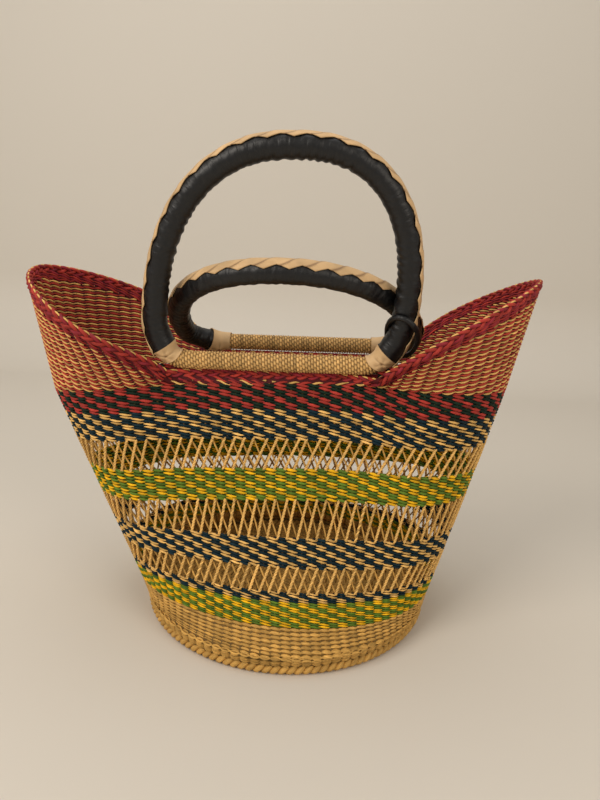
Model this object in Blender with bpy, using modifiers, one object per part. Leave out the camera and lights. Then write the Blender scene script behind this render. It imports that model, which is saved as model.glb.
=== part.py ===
"""Twined straw shopping basket with a pinched mouth, two raised wings and two folding D handles.

Metres, +Z up. The origin lies on the table, under the middle of the mouth. +X runs from the left wing
to the right wing, and -Y is the side of the upright handle. Every woven band is a separate closed shell
between two courses of one wall, so neighbouring bands share one surface and one gap. A place on the wall
is a level, from -1 at the table through 0 at the belly to 1 at the top course, and a share of the way
round, which starts at the front centre and runs towards +X. A place on a wing has, in the level's place,
a climb from 0 at the top course to 1 at the rim.
"""

import math

import bmesh
import bpy
import numpy as np
from mathutils import Matrix

# Gaps between pieces that touch
SEAT_GAP = 0.0003
WING_GAP = 0.0011
BORE_GAP = 0.0008
CUT_OVERRUN = 0.004
SHARP_DEGREES = 40

# Foot
BELLY_RADIUS = 0.160
BELLY_HEIGHT = 0.020
BELLY_SWELL = 0.005
CONTACT_RADIUS = BELLY_RADIUS - BELLY_SWELL
FOOT_INSET = 0.0025
FOOT_RADIUS = CONTACT_RADIUS - FOOT_INSET
FOOT_ROPE_RADIUS = 0.0055
FOOT_ROPE_SIDES = 12
FOOT_TUCK = 0.0011
BASE_THICKNESS = 0.006

# Wall at its top course, where the mouth's stripes end
WALL = 0.005
TOP_HALF_LENGTH = 0.239
TOP_HALF_WIDTH = 0.094
TOP_FRONT_HEIGHT = 0.2594
TOP_SIDE_HEIGHT = 0.2457
TOP_SQUARENESS_SHARE = 2.59
TOP_PINCH_SHARE = 0.394
LENGTH_GROWTH_SHARE = 0.923
WIDTH_GROWTH_SHARE = 0.60
PINCH_GROWTH_SHARE = 0.60

# Rim of the mouth
RIM_HALF_LENGTH = 0.2614
RIM_HALF_WIDTH = 0.1705
RIM_SQUARENESS_SHARE = 1.788
RIM_PINCH_SHARE = 0.687
RIM_OVER_TOP = 0.0084
RIM_LOW_HEIGHT = TOP_FRONT_HEIGHT + RIM_OVER_TOP
WING_CLIMB = 0.0949
WING_TIP_HEIGHT = RIM_LOW_HEIGHT + WING_CLIMB
WING_RISE_SHARE = 0.795
RIM_TUBE_RADIUS = 0.0045
RIM_TUBE_DROP = 0.0012
PINCH_HALF_LENGTH = 0.1347
PINCH_SQUARENESS_SHARE = 5.58
LOW_RIM_HALF_LENGTH = 0.105

# Lean that the hands gave the mouth over the foot
FOOT_SHIFT_X = 0.0132
MOUTH_SHIFT_Y = 0.002
LOW_RIM_SHIFT = 0.0045
MOUTH_SKEW_SHARE = 0.18
COURSE_TILT_SHARE = 0.0456
RIM_TILT_SHARE = 0.0163

# Bands from the foot up: name, level of the top edge, rows of faces, sRGB colour
BAND_SHARES = (
    ("natural_band", 0.075, 2, "C8A05F"),
    ("lower_green_yellow_band", 0.153, 1, "8E9A2C"),
    ("lower_navy_cream_band", 0.187, 1, "6E6A50"),
    ("lower_openwork_band", 0.271, 0, "D2A860"),
    ("middle_navy_cream_band", 0.386, 1, "6E6A50"),
    ("middle_openwork_band", 0.534, 0, "D2A860"),
    ("upper_green_yellow_band", 0.661, 1, "9AA02C"),
    ("upper_openwork_band", 0.772, 0, "D2A860"),
    ("upper_navy_cream_band", 0.895, 1, "6E6A50"),
    ("red_green_band", 0.999, 1, "6B3328"),
)
WING_ROWS = 4
WING_COLOUR = "A5483A"
COLUMNS = 48
RIM_COLUMNS = 96
CROWDING_SHARE = 2.0
BEND_SAMPLES = 12
HOLE_WIDTH_SHARE = 0.66
HOLE_HEIGHT_SHARE = 0.70
RING_SAMPLES = 720
LEVEL_STEP_SHARE = 0.02
TURN_STEP_SHARE = 0.002
EDGE_STEPS = 160

# Handles: a straw core bent into a D, its bar bound to the rim, its arch in a laced sleeve
BAR_WRAP_RADIUS = 0.009
CORE_RADIUS = 0.0060
CORE_CORNER_RADIUS = 0.014
BAR_HALF_LENGTH = 0.104
SLEEVE_RADIUS = 0.0108
LEG_FLARE_SHARE = 1.2
LACE_THICKNESS = 0.0012
LACE_HALF_SPREAD_DEGREES = 46.0
LACE_TOOTH_DEGREES = 9.0
LACE_SPOKES = 6
PATCH_BAR_RADIUS = 0.0088
PATCH_LEG_RADIUS = 0.0122
PATCH_ON_BAR = 0.004
SEAM_RUN = 0.0015
ARCH_STATIONS = 27
CORNER_STATIONS = 5
CORNER_POINTS = 33
BORE_SIDES = 8

# Keeper ring on the front handle's right leg
KEEPER_CORD_RADIUS = 0.0028
KEEPER_RADIUS = 0.0160
KEEPER_HEIGHT = 0.023
KEEPER_FALL_ACROSS_SHARE = 0.56
KEEPER_FALL_BEHIND_SHARE = 1.2
KEEPER_STATIONS = 24

HANDLES = (
    {
        "name": "front",
        "bar_x": -0.0065,
        "bar_y": -0.0520,
        "lean_degrees": 10.3,
        "height": 0.2000,
        "half_width": 0.1195,
        "widest_at": 0.044,
        "squareness_share": 2.366,
        "skew_share": 0.105,
        "patch_on_leg": 0.008,
        "lace_turn_degrees": 0.0,
    },
    {
        "name": "back",
        "bar_x": 0.0150,
        "bar_y": 0.0585,
        "lean_degrees": 57.8,
        "height": 0.1700,
        "half_width": 0.1260,
        "widest_at": 0.028,
        "squareness_share": 2.17,
        "skew_share": -0.073,
        "patch_on_leg": 0.018,
        "lace_turn_degrees": 45.0,
    },
)


# Scene, colours and collections


def clear_scene():
    """Removes every object that the file opened with."""
    for old in list(bpy.data.objects):
        bpy.data.objects.remove(old, do_unlink=True)


def linear(channel):
    """One sRGB channel as a linear value."""
    return channel / 12.92 if channel <= 0.04045 else ((channel + 0.055) / 1.055) ** 2.4


def material(name, colour, roughness):
    """A plain Principled material of one sRGB hex colour."""
    made = bpy.data.materials.new(name)
    made.use_nodes = True
    channels = [linear(int(colour[i : i + 2], 16) / 255) for i in (0, 2, 4)]
    shader = made.node_tree.nodes["Principled BSDF"]
    shader.inputs["Base Color"].default_value = (*channels, 1.0)
    shader.inputs["Roughness"].default_value = roughness
    shader.inputs["Metallic"].default_value = 0.0
    return made


def collection(name):
    """A new collection in the scene."""
    made = bpy.data.collections.new(name)
    bpy.context.scene.collection.children.link(made)
    return made


def add_object(name, data, home, colour=None, roughness=0.8, parent=None):
    """Links a new object to its collection, with its own material and its parent."""
    made = bpy.data.objects.new(name, data)
    home.objects.link(made)
    made.parent = parent
    if colour:
        data.materials.append(material(name + "_finish", colour, roughness))
    return made


# The wall


def signed_power(base, exponent):
    """|base| to an exponent, with the sign of base."""
    return np.sign(base) * np.abs(base) ** exponent


def pinched_ring(half_length, half_width, squareness, pinch):
    """A superellipse whose long sides are drawn in by a share of their width between the handles."""
    angle = np.linspace(-math.pi / 2, 3 * math.pi / 2, RING_SAMPLES + 1)
    x = half_length * signed_power(np.cos(angle), 2 / squareness)
    y = half_width * signed_power(np.sin(angle), 2 / squareness)
    flare = np.abs(x / PINCH_HALF_LENGTH) ** PINCH_SQUARENESS_SHARE
    return x, y * (1 - pinch / (1 + flare))


def along(points, shares):
    """Points at the given shares of a closed polyline's length."""
    steps = np.linalg.norm(np.diff(points, axis=0), axis=1)
    run = np.concatenate(([0.0], np.cumsum(steps)))
    wanted = np.mod(shares, 1.0) * run[-1]
    return np.stack([np.interp(wanted, run, points[:, i]) for i in range(3)], axis=1)


def leaned(points, tilt, amount):
    """Tilts, skews and shifts a course by the share of the mouth's lean that it has."""
    x, y, z = points.T
    moved_x = x + FOOT_SHIFT_X * (1 - amount) + MOUTH_SKEW_SHARE * amount * y
    return np.stack([moved_x, y + MOUTH_SHIFT_Y * amount, z + tilt * x], axis=1)


def wall_course(level, shares):
    """One course of the wall below the wings, at level -1 to 1."""
    if level < 0:
        radius = BELLY_RADIUS + (CONTACT_RADIUS - BELLY_RADIUS) * -level
        x, y = pinched_ring(radius, radius, 2.0, 0.0)
        z = np.full_like(x, BELLY_HEIGHT * (1 + level))
        return leaned(along(np.stack([x, y, z], axis=1), shares), 0.0, 0.0)
    half_length = BELLY_RADIUS + (TOP_HALF_LENGTH - BELLY_RADIUS) * level**LENGTH_GROWTH_SHARE
    half_width = BELLY_RADIUS + (TOP_HALF_WIDTH - BELLY_RADIUS) * level**WIDTH_GROWTH_SHARE
    squareness = 2 + (TOP_SQUARENESS_SHARE - 2) * level
    pinch = TOP_PINCH_SHARE * level**PINCH_GROWTH_SHARE
    x, y = pinched_ring(half_length, half_width, squareness, pinch)
    front = BELLY_HEIGHT + (TOP_FRONT_HEIGHT - BELLY_HEIGHT) * level
    side = BELLY_HEIGHT + (TOP_SIDE_HEIGHT - BELLY_HEIGHT) * level
    z = side + (front - side) * (1 - (x / half_length) ** 2)
    return leaned(along(np.stack([x, y, z], axis=1), shares), COURSE_TILT_SHARE * level, level)


def rim_line(shares):
    """The rim's middle line: level between the handles' corners, then rising to the wing tips."""
    x, y = pinched_ring(RIM_HALF_LENGTH, RIM_HALF_WIDTH, RIM_SQUARENESS_SHARE, RIM_PINCH_SHARE)
    corner = LOW_RIM_HALF_LENGTH + LOW_RIM_SHIFT * np.sign(x)
    climb = np.clip((np.abs(x) - corner) / (RIM_HALF_LENGTH - corner), 0, 1) ** WING_RISE_SHARE
    z = RIM_LOW_HEIGHT - RIM_TUBE_DROP + (WING_TIP_HEIGHT - RIM_LOW_HEIGHT) * climb
    return leaned(along(np.stack([x, y, z], axis=1), shares), RIM_TILT_SHARE, 1.0)


def outward(level, shares):
    """Unit normals of the wall, from its rise and its run on either side of each point."""
    rise = wall_course(min(level + LEVEL_STEP_SHARE, 1.0), shares)
    rise = rise - wall_course(level - LEVEL_STEP_SHARE, shares)
    run = wall_course(level, shares + TURN_STEP_SHARE) - wall_course(level, shares - TURN_STEP_SHARE)
    normal = np.cross(run, rise)
    return normal / np.linalg.norm(normal, axis=1)[:, None]


def wing_course(climb, shares):
    """Points of the wings at a share of the way from the top course to the rim line."""
    low = wall_course(1.0, shares)
    return low + (rim_line(shares) - low) * np.reshape(climb, (-1, 1))


def wing_outward(climb, shares):
    """Level unit normals of the wings at the same places."""
    run = wing_course(climb, shares + TURN_STEP_SHARE) - wing_course(climb, shares - TURN_STEP_SHARE)
    normal = np.stack([run[:, 1], -run[:, 0], run[:, 2] * 0], axis=1)
    return normal / np.linalg.norm(normal, axis=1)[:, None]


def rim_middle(shares):
    """The centre line of the rolled rim, half a wall inside the rim line."""
    return rim_line(shares) - WALL / 2 * wing_outward(1.0, shares)


def wing_edge(shares):
    """The share of its climb at which each stake of a wing stops, short of the rolled rim."""
    rim = rim_middle(np.arange(RING_SAMPLES) / RING_SAMPLES)
    climbs = np.linspace(1, 0, EDGE_STEPS + 1)
    edge = np.zeros(len(shares))
    for climb in climbs:
        middle = wing_course(climb, shares) - WALL / 2 * wing_outward(climb, shares)
        apart = np.linalg.norm(middle[:, None] - rim[None], axis=2).min(axis=1)
        clear = (apart >= RIM_TUBE_RADIUS + WING_GAP) & (edge == 0)
        edge[clear] = climb
    beside = np.concatenate((edge[:1], edge, edge[-1:]))
    return np.minimum(edge, np.minimum(beside[:-2], beside[2:]))


def stations(count):
    """Shares of a turn, closer together where the rim bends more, and the same in each quarter."""
    even = np.arange(RING_SAMPLES + 1) / RING_SAMPLES
    steps = np.diff(rim_line(even), axis=0)
    steps /= np.linalg.norm(steps, axis=1)[:, None]
    bend = np.arccos(np.clip(np.sum(steps * np.roll(steps, 1, axis=0), axis=1), -1, 1))
    reach = range(-BEND_SAMPLES, BEND_SAMPLES + 1)
    bend = sum(np.roll(bend, shift) for shift in reach)
    bend = bend + np.roll(bend[::-1], 1)
    bend = bend + np.roll(bend, RING_SAMPLES // 2)
    weight = 1 + CROWDING_SHARE * bend / np.mean(bend)
    weight = (weight + np.roll(weight, -1)) / 2
    run = np.concatenate(([0.0], np.cumsum(weight)))
    return np.interp(np.arange(count) / count * run[-1], run, even)


def level_gap(level):
    """Half a seat gap as a difference of level, on the front centre of the wall."""
    rise = wall_course(level, np.zeros(1)) - wall_course(level - LEVEL_STEP_SHARE, np.zeros(1))
    return SEAT_GAP / 2 * LEVEL_STEP_SHARE / np.linalg.norm(rise)


def mesh_from(name, points, faces):
    """A mesh from an array of points and a list of faces, shaded smooth but for its sharp edges."""
    mesh = bpy.data.meshes.new(name)
    mesh.from_pydata(points.tolist(), [], faces)
    mesh.validate()
    mesh.shade_smooth()
    mesh.set_sharp_from_angle(angle=math.radians(SHARP_DEGREES))
    return mesh


def closed_shell(levels, shares):
    """Rings up the outer face and down the inner face, one wall thickness apart."""
    outer = [wall_course(level, shares) for level in levels]
    inner = [ring - WALL * outward(level, shares) for level, ring in zip(levels, outer)]
    return np.array(outer + inner[::-1])


def band_mesh(name, levels):
    """A band that goes all the way round: a loft between unlike rings, closed both ways."""
    grid = closed_shell(levels, np.arange(COLUMNS) / COLUMNS)
    rows, columns = grid.shape[:2]
    faces = []
    for r in range(rows):
        for c in range(columns):
            next_r, next_c = (r + 1) % rows, (c + 1) % columns
            corners = ((r, c), (r, next_c), (next_r, next_c), (next_r, c))
            if next_r == 0:
                corners = corners[1:] + corners[:1]
            faces.append([i * columns + j for i, j in corners])
    return mesh_from(name, grid.reshape(-1, 3), faces)


def wing_mesh(name, start, end):
    """A wing: the strip above the top course from one mid side to the other, with closed ends."""
    turn = stations(RIM_COLUMNS)
    half_gap = SEAT_GAP / 2 / (4 * TOP_HALF_LENGTH)
    shares = turn[(turn > start) & (turn < end)]
    shares = np.concatenate(([start + half_gap], shares, [end - half_gap]))
    length = np.linalg.norm(wing_course(1.0, shares) - wing_course(0.0, shares), axis=1)
    low, high = WING_GAP / length, wing_edge(shares)
    climbs = [low + (high - low) * row for row in np.linspace(0, 1, WING_ROWS + 1)]
    outer = [wing_course(climb, shares) for climb in climbs]
    normals = [outward(1.0, shares)] + [wing_outward(climb, shares) for climb in climbs[1:]]
    inner = [ring - WALL * normal for ring, normal in zip(outer, normals)]
    grid = np.array(outer + inner[::-1])
    rows, columns = grid.shape[:2]
    faces = []
    for r in range(rows):
        for c in range(columns - 1):
            next_r = (r + 1) % rows
            corners = ((r, c), (r, c + 1), (next_r, c + 1), (next_r, c))
            if next_r == 0:
                corners = corners[1:] + corners[:1]
            faces.append([i * columns + j for i, j in corners])
    for r in range(rows // 2 - 1):
        pair = (r, r + 1, rows - 2 - r, rows - 1 - r)
        faces.append([i * columns for i in pair])
        faces.append([i * columns + columns - 1 for i in pair[::-1]])
    return mesh_from(name, grid.reshape(-1, 3), faces)


def openwork_mesh(name, low, high):
    """A band of crossing stakes: one diamond hole in each pair of columns, cut through both faces."""
    shares = np.arange(COLUMNS + 1) / COLUMNS
    middle = (low + high) / 2
    half_height = (high - low) / 2 * HOLE_HEIGHT_SHARE
    points = []
    for level in (low, high):
        points.append(closed_shell([level], shares[:-1]))
    edges = np.array(points)
    cells = COLUMNS // 2
    centre = shares[1:-1:2]
    half_width = (shares[2::2] - shares[:-2:2]) / 2 * HOLE_WIDTH_SHARE
    left = closed_shell([middle], centre - half_width)
    right = closed_shell([middle], centre + half_width)
    down = closed_shell([middle - half_height], centre)
    up = closed_shell([middle + half_height], centre)
    # Rows of points: outer bottom, inner bottom, outer top, inner top, then the holes' corners
    stacked = [edges[0][0], edges[0][1], edges[1][0], edges[1][1]]
    stacked += [left[0], left[1], right[0], right[1], down[0], down[1], up[0], up[1]]
    starts = np.concatenate(([0], np.cumsum([len(part) for part in stacked])))
    faces = []
    for cell in range(cells):
        a, b, c = 2 * cell, 2 * cell + 1, (2 * cell + 2) % COLUMNS
        for side in (0, 1):
            bottom, top = starts[side], starts[2 + side]
            hole = [int(starts[4 + 2 * k + side]) + cell for k in range(4)]
            le, ri, dn, u = hole
            ring = [
                (bottom + a, bottom + b, dn),
                (bottom + a, dn, le),
                (bottom + a, le, top + a),
                (le, u, top + a),
                (top + a, u, top + b),
                (bottom + b, bottom + c, dn),
                (dn, bottom + c, ri),
                (bottom + c, top + c, ri),
                (ri, top + c, u),
                (u, top + c, top + b),
            ]
            faces += [f if side == 0 else f[::-1] for f in ring]
        outer = [int(starts[4 + 2 * k]) + cell for k in range(4)]
        inner = [int(starts[5 + 2 * k]) + cell for k in range(4)]
        order = (0, 3, 1, 2)
        for k in range(4):
            one, two = order[k], order[(k + 1) % 4]
            faces.append((outer[one], inner[one], inner[two], outer[two]))
        for one, two in ((a, b), (b, c)):
            faces.append((starts[0] + one, starts[1] + one, starts[1] + two, starts[0] + two))
            faces.append((starts[2] + one, starts[2] + two, starts[3] + two, starts[3] + one))
    faces = [[int(i) for i in face] for face in faces]
    return mesh_from(name, np.concatenate(stacked), faces)


def build_wall(home):
    """Every woven band between the foot rope and the wings."""
    low = (2 * FOOT_ROPE_RADIUS + SEAT_GAP - FOOT_TUCK) / BELLY_HEIGHT - 1
    for name, top, rows, colour in BAND_SHARES:
        high = top - level_gap(top)
        if rows:
            levels = np.linspace(low, high, rows + 1)
            if low < 0:
                levels = np.concatenate(([low, 0.0], np.linspace(0, high, rows + 1)[1:]))
            add_object(name, band_mesh(name, levels), home, colour)
        else:
            add_object(name, openwork_mesh(name, low, high), home, colour)
        low = top + level_gap(top)
    add_object("wing_right", wing_mesh("wing_right", 0.0, 0.5), home, WING_COLOUR)
    add_object("wing_left", wing_mesh("wing_left", 0.5, 1.0), home, WING_COLOUR)


def build_foot(home):
    """The flat woven disc and the rope that turns the stakes up round it."""
    disc = bmesh.new()
    radius = FOOT_RADIUS - FOOT_ROPE_RADIUS - SEAT_GAP
    lift = Matrix.Translation((0, 0, BASE_THICKNESS / 2))
    bmesh.ops.create_cone(
        disc, cap_ends=True, segments=COLUMNS, radius1=radius, radius2=radius,
        depth=BASE_THICKNESS, matrix=lift
    )
    mesh = bpy.data.meshes.new("base_disc")
    disc.to_mesh(mesh)
    disc.free()
    base = add_object("base_disc", mesh, home, "C29A5A")
    base.location.x = FOOT_SHIFT_X
    bpy.ops.mesh.primitive_torus_add(
        major_radius=FOOT_RADIUS, minor_radius=FOOT_ROPE_RADIUS, major_segments=COLUMNS,
        minor_segments=FOOT_ROPE_SIDES, location=(FOOT_SHIFT_X, 0, FOOT_ROPE_RADIUS)
    )
    rope = bpy.context.object
    rope.name = rope.data.name = "foot_rope"
    for other in list(rope.users_collection):
        other.objects.unlink(rope)
    home.objects.link(rope)
    rope.data.shade_smooth()
    rope.data.materials.append(material("foot_rope_finish", "BE9350", 0.8))


# Tubes


def tube_curve(name, points, radii, cyclic, resolution):
    """A poly curve with a round bevel: radii is one radius or one for each point."""
    curve = bpy.data.curves.new(name, "CURVE")
    curve.dimensions = "3D"
    widest = float(np.max(radii))
    curve.bevel_depth = widest
    curve.bevel_resolution = resolution
    curve.use_fill_caps = not cyclic
    curve.twist_mode = "MINIMUM"
    spline = curve.splines.new("POLY")
    spline.points.add(len(points) - 1)
    sizes = np.broadcast_to(radii, len(points)) / widest
    for point, place, size in zip(spline.points, points, sizes):
        point.co = (*place, 1.0)
        point.radius = size
    spline.use_cyclic_u = cyclic
    return curve


def tube_mesh(name, points, radii, cyclic=False, resolution=4):
    """The same tube as a welded, closed mesh that can be cut or joined."""
    holder = bpy.data.objects.new(name + "_curve", tube_curve(name, points, radii, cyclic, resolution))
    bpy.context.scene.collection.objects.link(holder)
    bpy.context.view_layer.update()
    mesh = bpy.data.meshes.new_from_object(holder.evaluated_get(bpy.context.evaluated_depsgraph_get()))
    bpy.data.objects.remove(holder, do_unlink=True)
    work = bmesh.new()
    work.from_mesh(mesh)
    bmesh.ops.remove_doubles(work, verts=work.verts, dist=SEAT_GAP / 10)
    bmesh.ops.recalc_face_normals(work, faces=work.faces)
    work.to_mesh(mesh)
    work.free()
    mesh.name = name
    mesh.shade_smooth()
    mesh.set_sharp_from_angle(angle=math.radians(SHARP_DEGREES))
    return mesh


def bored(piece, points, cutters):
    """Cuts a core-sized bore through a piece along a path that runs past both its ends."""
    radius = (CORE_RADIUS + BORE_GAP) / math.cos(math.pi / BORE_SIDES)
    mesh = tube_mesh(piece.name + "_bore", points, radius, resolution=BORE_SIDES // 2 - 2)
    cutter = add_object(piece.name + "_bore", mesh, cutters, parent=piece.parent)
    cutter.hide_render = True
    cutter.display_type = "WIRE"
    cut = piece.modifiers.new("Bore", "BOOLEAN")
    cut.operation = "DIFFERENCE"
    cut.object = cutter


# Handles


def d_path(handle):
    """The D's middle line in the handle's own XZ plane, from the bar's middle to the right and round."""
    widest, tall = handle["widest_at"], handle["height"]
    half_turn = math.pi / 2
    spread = handle["half_width"] - BAR_HALF_LENGTH
    rise = np.linspace(CORE_CORNER_RADIUS / widest, 1, CORNER_POINTS)
    leg_x = BAR_HALF_LENGTH + spread * np.sin(rise * half_turn) ** LEG_FLARE_SHARE
    leg_z = widest * rise
    slope = (leg_x[1] - leg_x[0]) / (leg_z[1] - leg_z[0])
    pull_x = leg_x[0] - slope * leg_z[0]
    bar_x = np.linspace(0, pull_x - CORE_CORNER_RADIUS, CORNER_POINTS)
    bend = np.linspace(0, 1, CORNER_POINTS)
    corner_x = bar_x[-1] * (1 - bend) ** 2 + 2 * pull_x * bend * (1 - bend) + leg_x[0] * bend**2
    corner_z = leg_z[0] * bend**2
    turn = np.linspace(0, half_turn, 4 * CORNER_POINTS)
    power = 2 / handle["squareness_share"]
    arch_x = handle["half_width"] * np.cos(turn) ** power
    arch_z = widest + (tall - widest) * np.sin(turn) ** power
    arch_x[-1] = 0.0
    x = np.concatenate((bar_x[:-1], corner_x[:-1], leg_x[:-1], arch_x))
    z = np.concatenate((bar_x[:-1] * 0, corner_z[:-1], leg_z[:-1], arch_z))
    x = np.concatenate((x, -x[::-1][1:]))
    z = np.concatenate((z, z[::-1][1:]))
    return np.stack([x + handle["skew_share"] * z, x * 0, z], axis=1)


def run_along(path):
    """The distance of each of a path's points from its start."""
    steps = np.linalg.norm(np.diff(path, axis=0), axis=1)
    return np.concatenate(([0.0], np.cumsum(steps)))


def at_runs(path, runs):
    """Points at the given distances along a path."""
    run = run_along(path)
    return np.stack([np.interp(runs, run, path[:, i]) for i in range(3)], axis=1)


def shortened(points, amount):
    """A path with both ends drawn in by an amount, or run on where it is negative."""
    ends = [points[0] - points[1], points[-1] - points[-2]]
    moves = [end / np.linalg.norm(end) * amount for end in ends]
    return np.concatenate(([points[0] - moves[0]], points[1:-1], [points[-1] - moves[1]]))


def lace_mesh(name, points, turn):
    """The laced strip: an open skin over the arch's outer side, with a toothed edge."""
    tangent = np.gradient(points, axis=0)
    tangent /= np.linalg.norm(tangent, axis=1)[:, None]
    side = np.array([0.0, 1.0, 0.0])
    spine = np.cross(side, tangent)
    spokes = LACE_SPOKES
    tooth = LACE_TOOTH_DEGREES * np.where(np.arange(len(points)) % 2, 1.0, -1.0)
    spread = np.radians(LACE_HALF_SPREAD_DEGREES + tooth)[:, None] * np.linspace(-1, 1, spokes)
    angle = (spread + math.radians(turn))[:, :, None]
    step = math.radians(LACE_HALF_SPREAD_DEGREES + LACE_TOOTH_DEGREES) / (spokes - 1)
    radius = (SLEEVE_RADIUS + SEAT_GAP) / math.cos(step)
    skin = points[:, None] + radius * (np.cos(angle) * spine[:, None] + np.sin(angle) * side)
    rows, columns = skin.shape[:2]
    faces = []
    for r in range(rows - 1):
        for c in range(columns - 1):
            first = r * columns + c
            faces.append([first, first + 1, first + columns + 1, first + columns])
    return mesh_from(name, skin.reshape(-1, 3), faces)


def build_handle(handle, home, cutters):
    """One handle: core, straw wrap, sleeve, lace and two corner patches round a parent on its axis."""
    name = handle["name"]
    seat = RIM_LOW_HEIGHT - RIM_TUBE_DROP + RIM_TUBE_RADIUS + SEAT_GAP + BAR_WRAP_RADIUS
    seat = seat + RIM_TILT_SHARE * handle["bar_x"]
    place = (handle["bar_x"], handle["bar_y"], seat)
    tilt = Matrix.Rotation(-math.atan(RIM_TILT_SHARE), 4, "Y")
    lean = Matrix.Rotation(math.radians(handle["lean_degrees"]), 4, "X")
    axis = bpy.data.objects.new(name + "_axis", None)
    home.objects.link(axis)
    axis.matrix_world = Matrix.Translation(place) @ tilt @ lean
    path = d_path(handle)
    run = run_along(path)
    wrap_end = run[CORNER_POINTS - 1] - PATCH_ON_BAR
    bar = at_runs(path, np.array([run[-1] - wrap_end, run[-1], wrap_end]))
    right_runs, left_runs = [
        np.concatenate(
            (
                [wrap_end],
                np.linspace(side[CORNER_POINTS - 1], side[2 * CORNER_POINTS - 2], CORNER_STATIONS),
                side[2 * CORNER_POINTS - 2] + handle["patch_on_leg"] + np.array([-SEAM_RUN, 0]),
            )
        )
        for side in (run, run[-1] - run[::-1])
    ]
    right = at_runs(path, right_runs)
    left = at_runs(path, (run[-1] - left_runs)[::-1])
    seams = (right_runs[-1], run[-1] - left_runs[-1])
    arch_runs = np.linspace(seams[0] + SEAM_RUN, seams[1] - SEAM_RUN, ARCH_STATIONS)
    arch = at_runs(path, np.concatenate((seams[:1], arch_runs, seams[1:])))
    core = np.concatenate((bar[1:2], right, arch[1:-1], left))
    pieces = (
        ("core", core, CORE_RADIUS, "B98F4E", 0.8),
        ("bar_wrap", bar[::2], BAR_WRAP_RADIUS, "C9A24E", 0.8),
        ("sleeve", arch, SLEEVE_RADIUS, "1E1E20", 0.45),
        ("right_patch", right, PATCH_BAR_RADIUS, "D5B48A", 0.6),
        ("left_patch", left, PATCH_BAR_RADIUS, "D5B48A", 0.6),
    )
    grown = 1 - np.cos(np.linspace(0, math.pi / 2, len(right)))
    patch_radii = PATCH_BAR_RADIUS + (PATCH_LEG_RADIUS - PATCH_BAR_RADIUS) * grown
    for label, points, radii, colour, roughness in pieces:
        full_name = name + "_" + label
        if label == "core":
            mesh = tube_mesh(full_name, points, radii, True, 1)
            add_object(full_name, mesh, home, colour, roughness, axis)
            continue
        if label == "right_patch":
            radii = patch_radii
        if label == "left_patch":
            radii = patch_radii[::-1]
        mesh = tube_mesh(full_name, shortened(points, SEAT_GAP), radii)
        piece = add_object(full_name, mesh, home, colour, roughness, axis)
        bored(piece, shortened(points, -CUT_OVERRUN), cutters)
    laced = shortened(arch, LACE_THICKNESS)
    mesh = lace_mesh(name + "_lace", laced, handle["lace_turn_degrees"])
    lace = add_object(name + "_lace", mesh, home, "D2AF82", 0.6, axis)
    skin = lace.modifiers.new("Thickness", "SOLIDIFY")
    skin.thickness = LACE_THICKNESS
    skin.offset = 1.0
    return axis, path


def build_keeper(axis, path, home):
    """The leather loop that hangs aslant round the front handle's right leg."""
    turn = np.linspace(0, 2 * math.pi, KEEPER_STATIONS, endpoint=False)
    across = (KEEPER_RADIUS * np.cos(turn))[:, None]
    behind = (KEEPER_RADIUS * np.sin(turn))[:, None]
    run = run_along(path)[2 * CORNER_POINTS - 2] + KEEPER_HEIGHT
    run = run - KEEPER_FALL_ACROSS_SHARE * across[:, 0] - KEEPER_FALL_BEHIND_SHARE * behind[:, 0]
    here = at_runs(path, run)
    ahead = at_runs(path, run + SEAM_RUN) - here
    back = np.array([0.0, 1.0, 0.0])
    side = np.cross(back, ahead / np.linalg.norm(ahead, axis=1)[:, None])
    mesh = tube_mesh("keeper_ring", here + side * across + back * behind, KEEPER_CORD_RADIUS, True, 2)
    add_object("keeper_ring", mesh, home, "18181A", 0.5, axis)


def main():
    clear_scene()
    home = collection("bolga_basket")
    cutters = collection("cutters")
    build_foot(home)
    build_wall(home)
    shares = stations(RIM_COLUMNS)
    rim = tube_mesh("rim_border", rim_middle(shares), RIM_TUBE_RADIUS, True, 2)
    add_object("rim_border", rim, home, "9C3A34")
    for handle in HANDLES:
        axis, path = build_handle(handle, home, cutters)
        if handle["name"] == "front":
            build_keeper(axis, path, home)


main()
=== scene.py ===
# %% [markdown]
# # A twined straw market basket
#
# The basket is woven upwards from a round foot. A pair of straw strands twists round each upright
# stake, so every row shows one slanting stitch for each stake. Dyed straw makes the stripes, bare
# slanted stakes make the see-through bands, and two D shaped handles sit on the low middle of the rim.
# The solid model of the basket is loaded first. Each soft solid is then replaced by a piece that is
# woven strand by strand on the same surface.

# %% Load the solid model
import math

import bpy
import numpy as np
from mathutils import Matrix, Vector


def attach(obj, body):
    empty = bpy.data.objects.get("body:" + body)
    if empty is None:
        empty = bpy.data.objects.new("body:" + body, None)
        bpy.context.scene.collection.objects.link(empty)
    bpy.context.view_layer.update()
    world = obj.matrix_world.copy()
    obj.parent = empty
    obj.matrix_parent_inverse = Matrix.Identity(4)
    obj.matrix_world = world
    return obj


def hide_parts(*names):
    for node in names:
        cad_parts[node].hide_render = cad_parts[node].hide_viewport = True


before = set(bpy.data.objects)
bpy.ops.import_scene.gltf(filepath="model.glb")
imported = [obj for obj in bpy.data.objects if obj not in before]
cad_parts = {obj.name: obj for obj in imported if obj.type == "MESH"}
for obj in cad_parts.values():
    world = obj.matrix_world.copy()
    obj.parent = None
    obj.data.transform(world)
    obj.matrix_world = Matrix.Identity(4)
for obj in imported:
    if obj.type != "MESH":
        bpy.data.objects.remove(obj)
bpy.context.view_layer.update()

# %% [markdown]
# ## Camera
#
# The camera was held a little above the rim. Its focal length is written in pixels of the picture,
# which is 600 wide and 800 high. The three axes of the camera follow from a turn, a downward tilt and a
# small roll. They could be set as three angles too, but a matrix says plainly which way each axis points.

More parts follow.
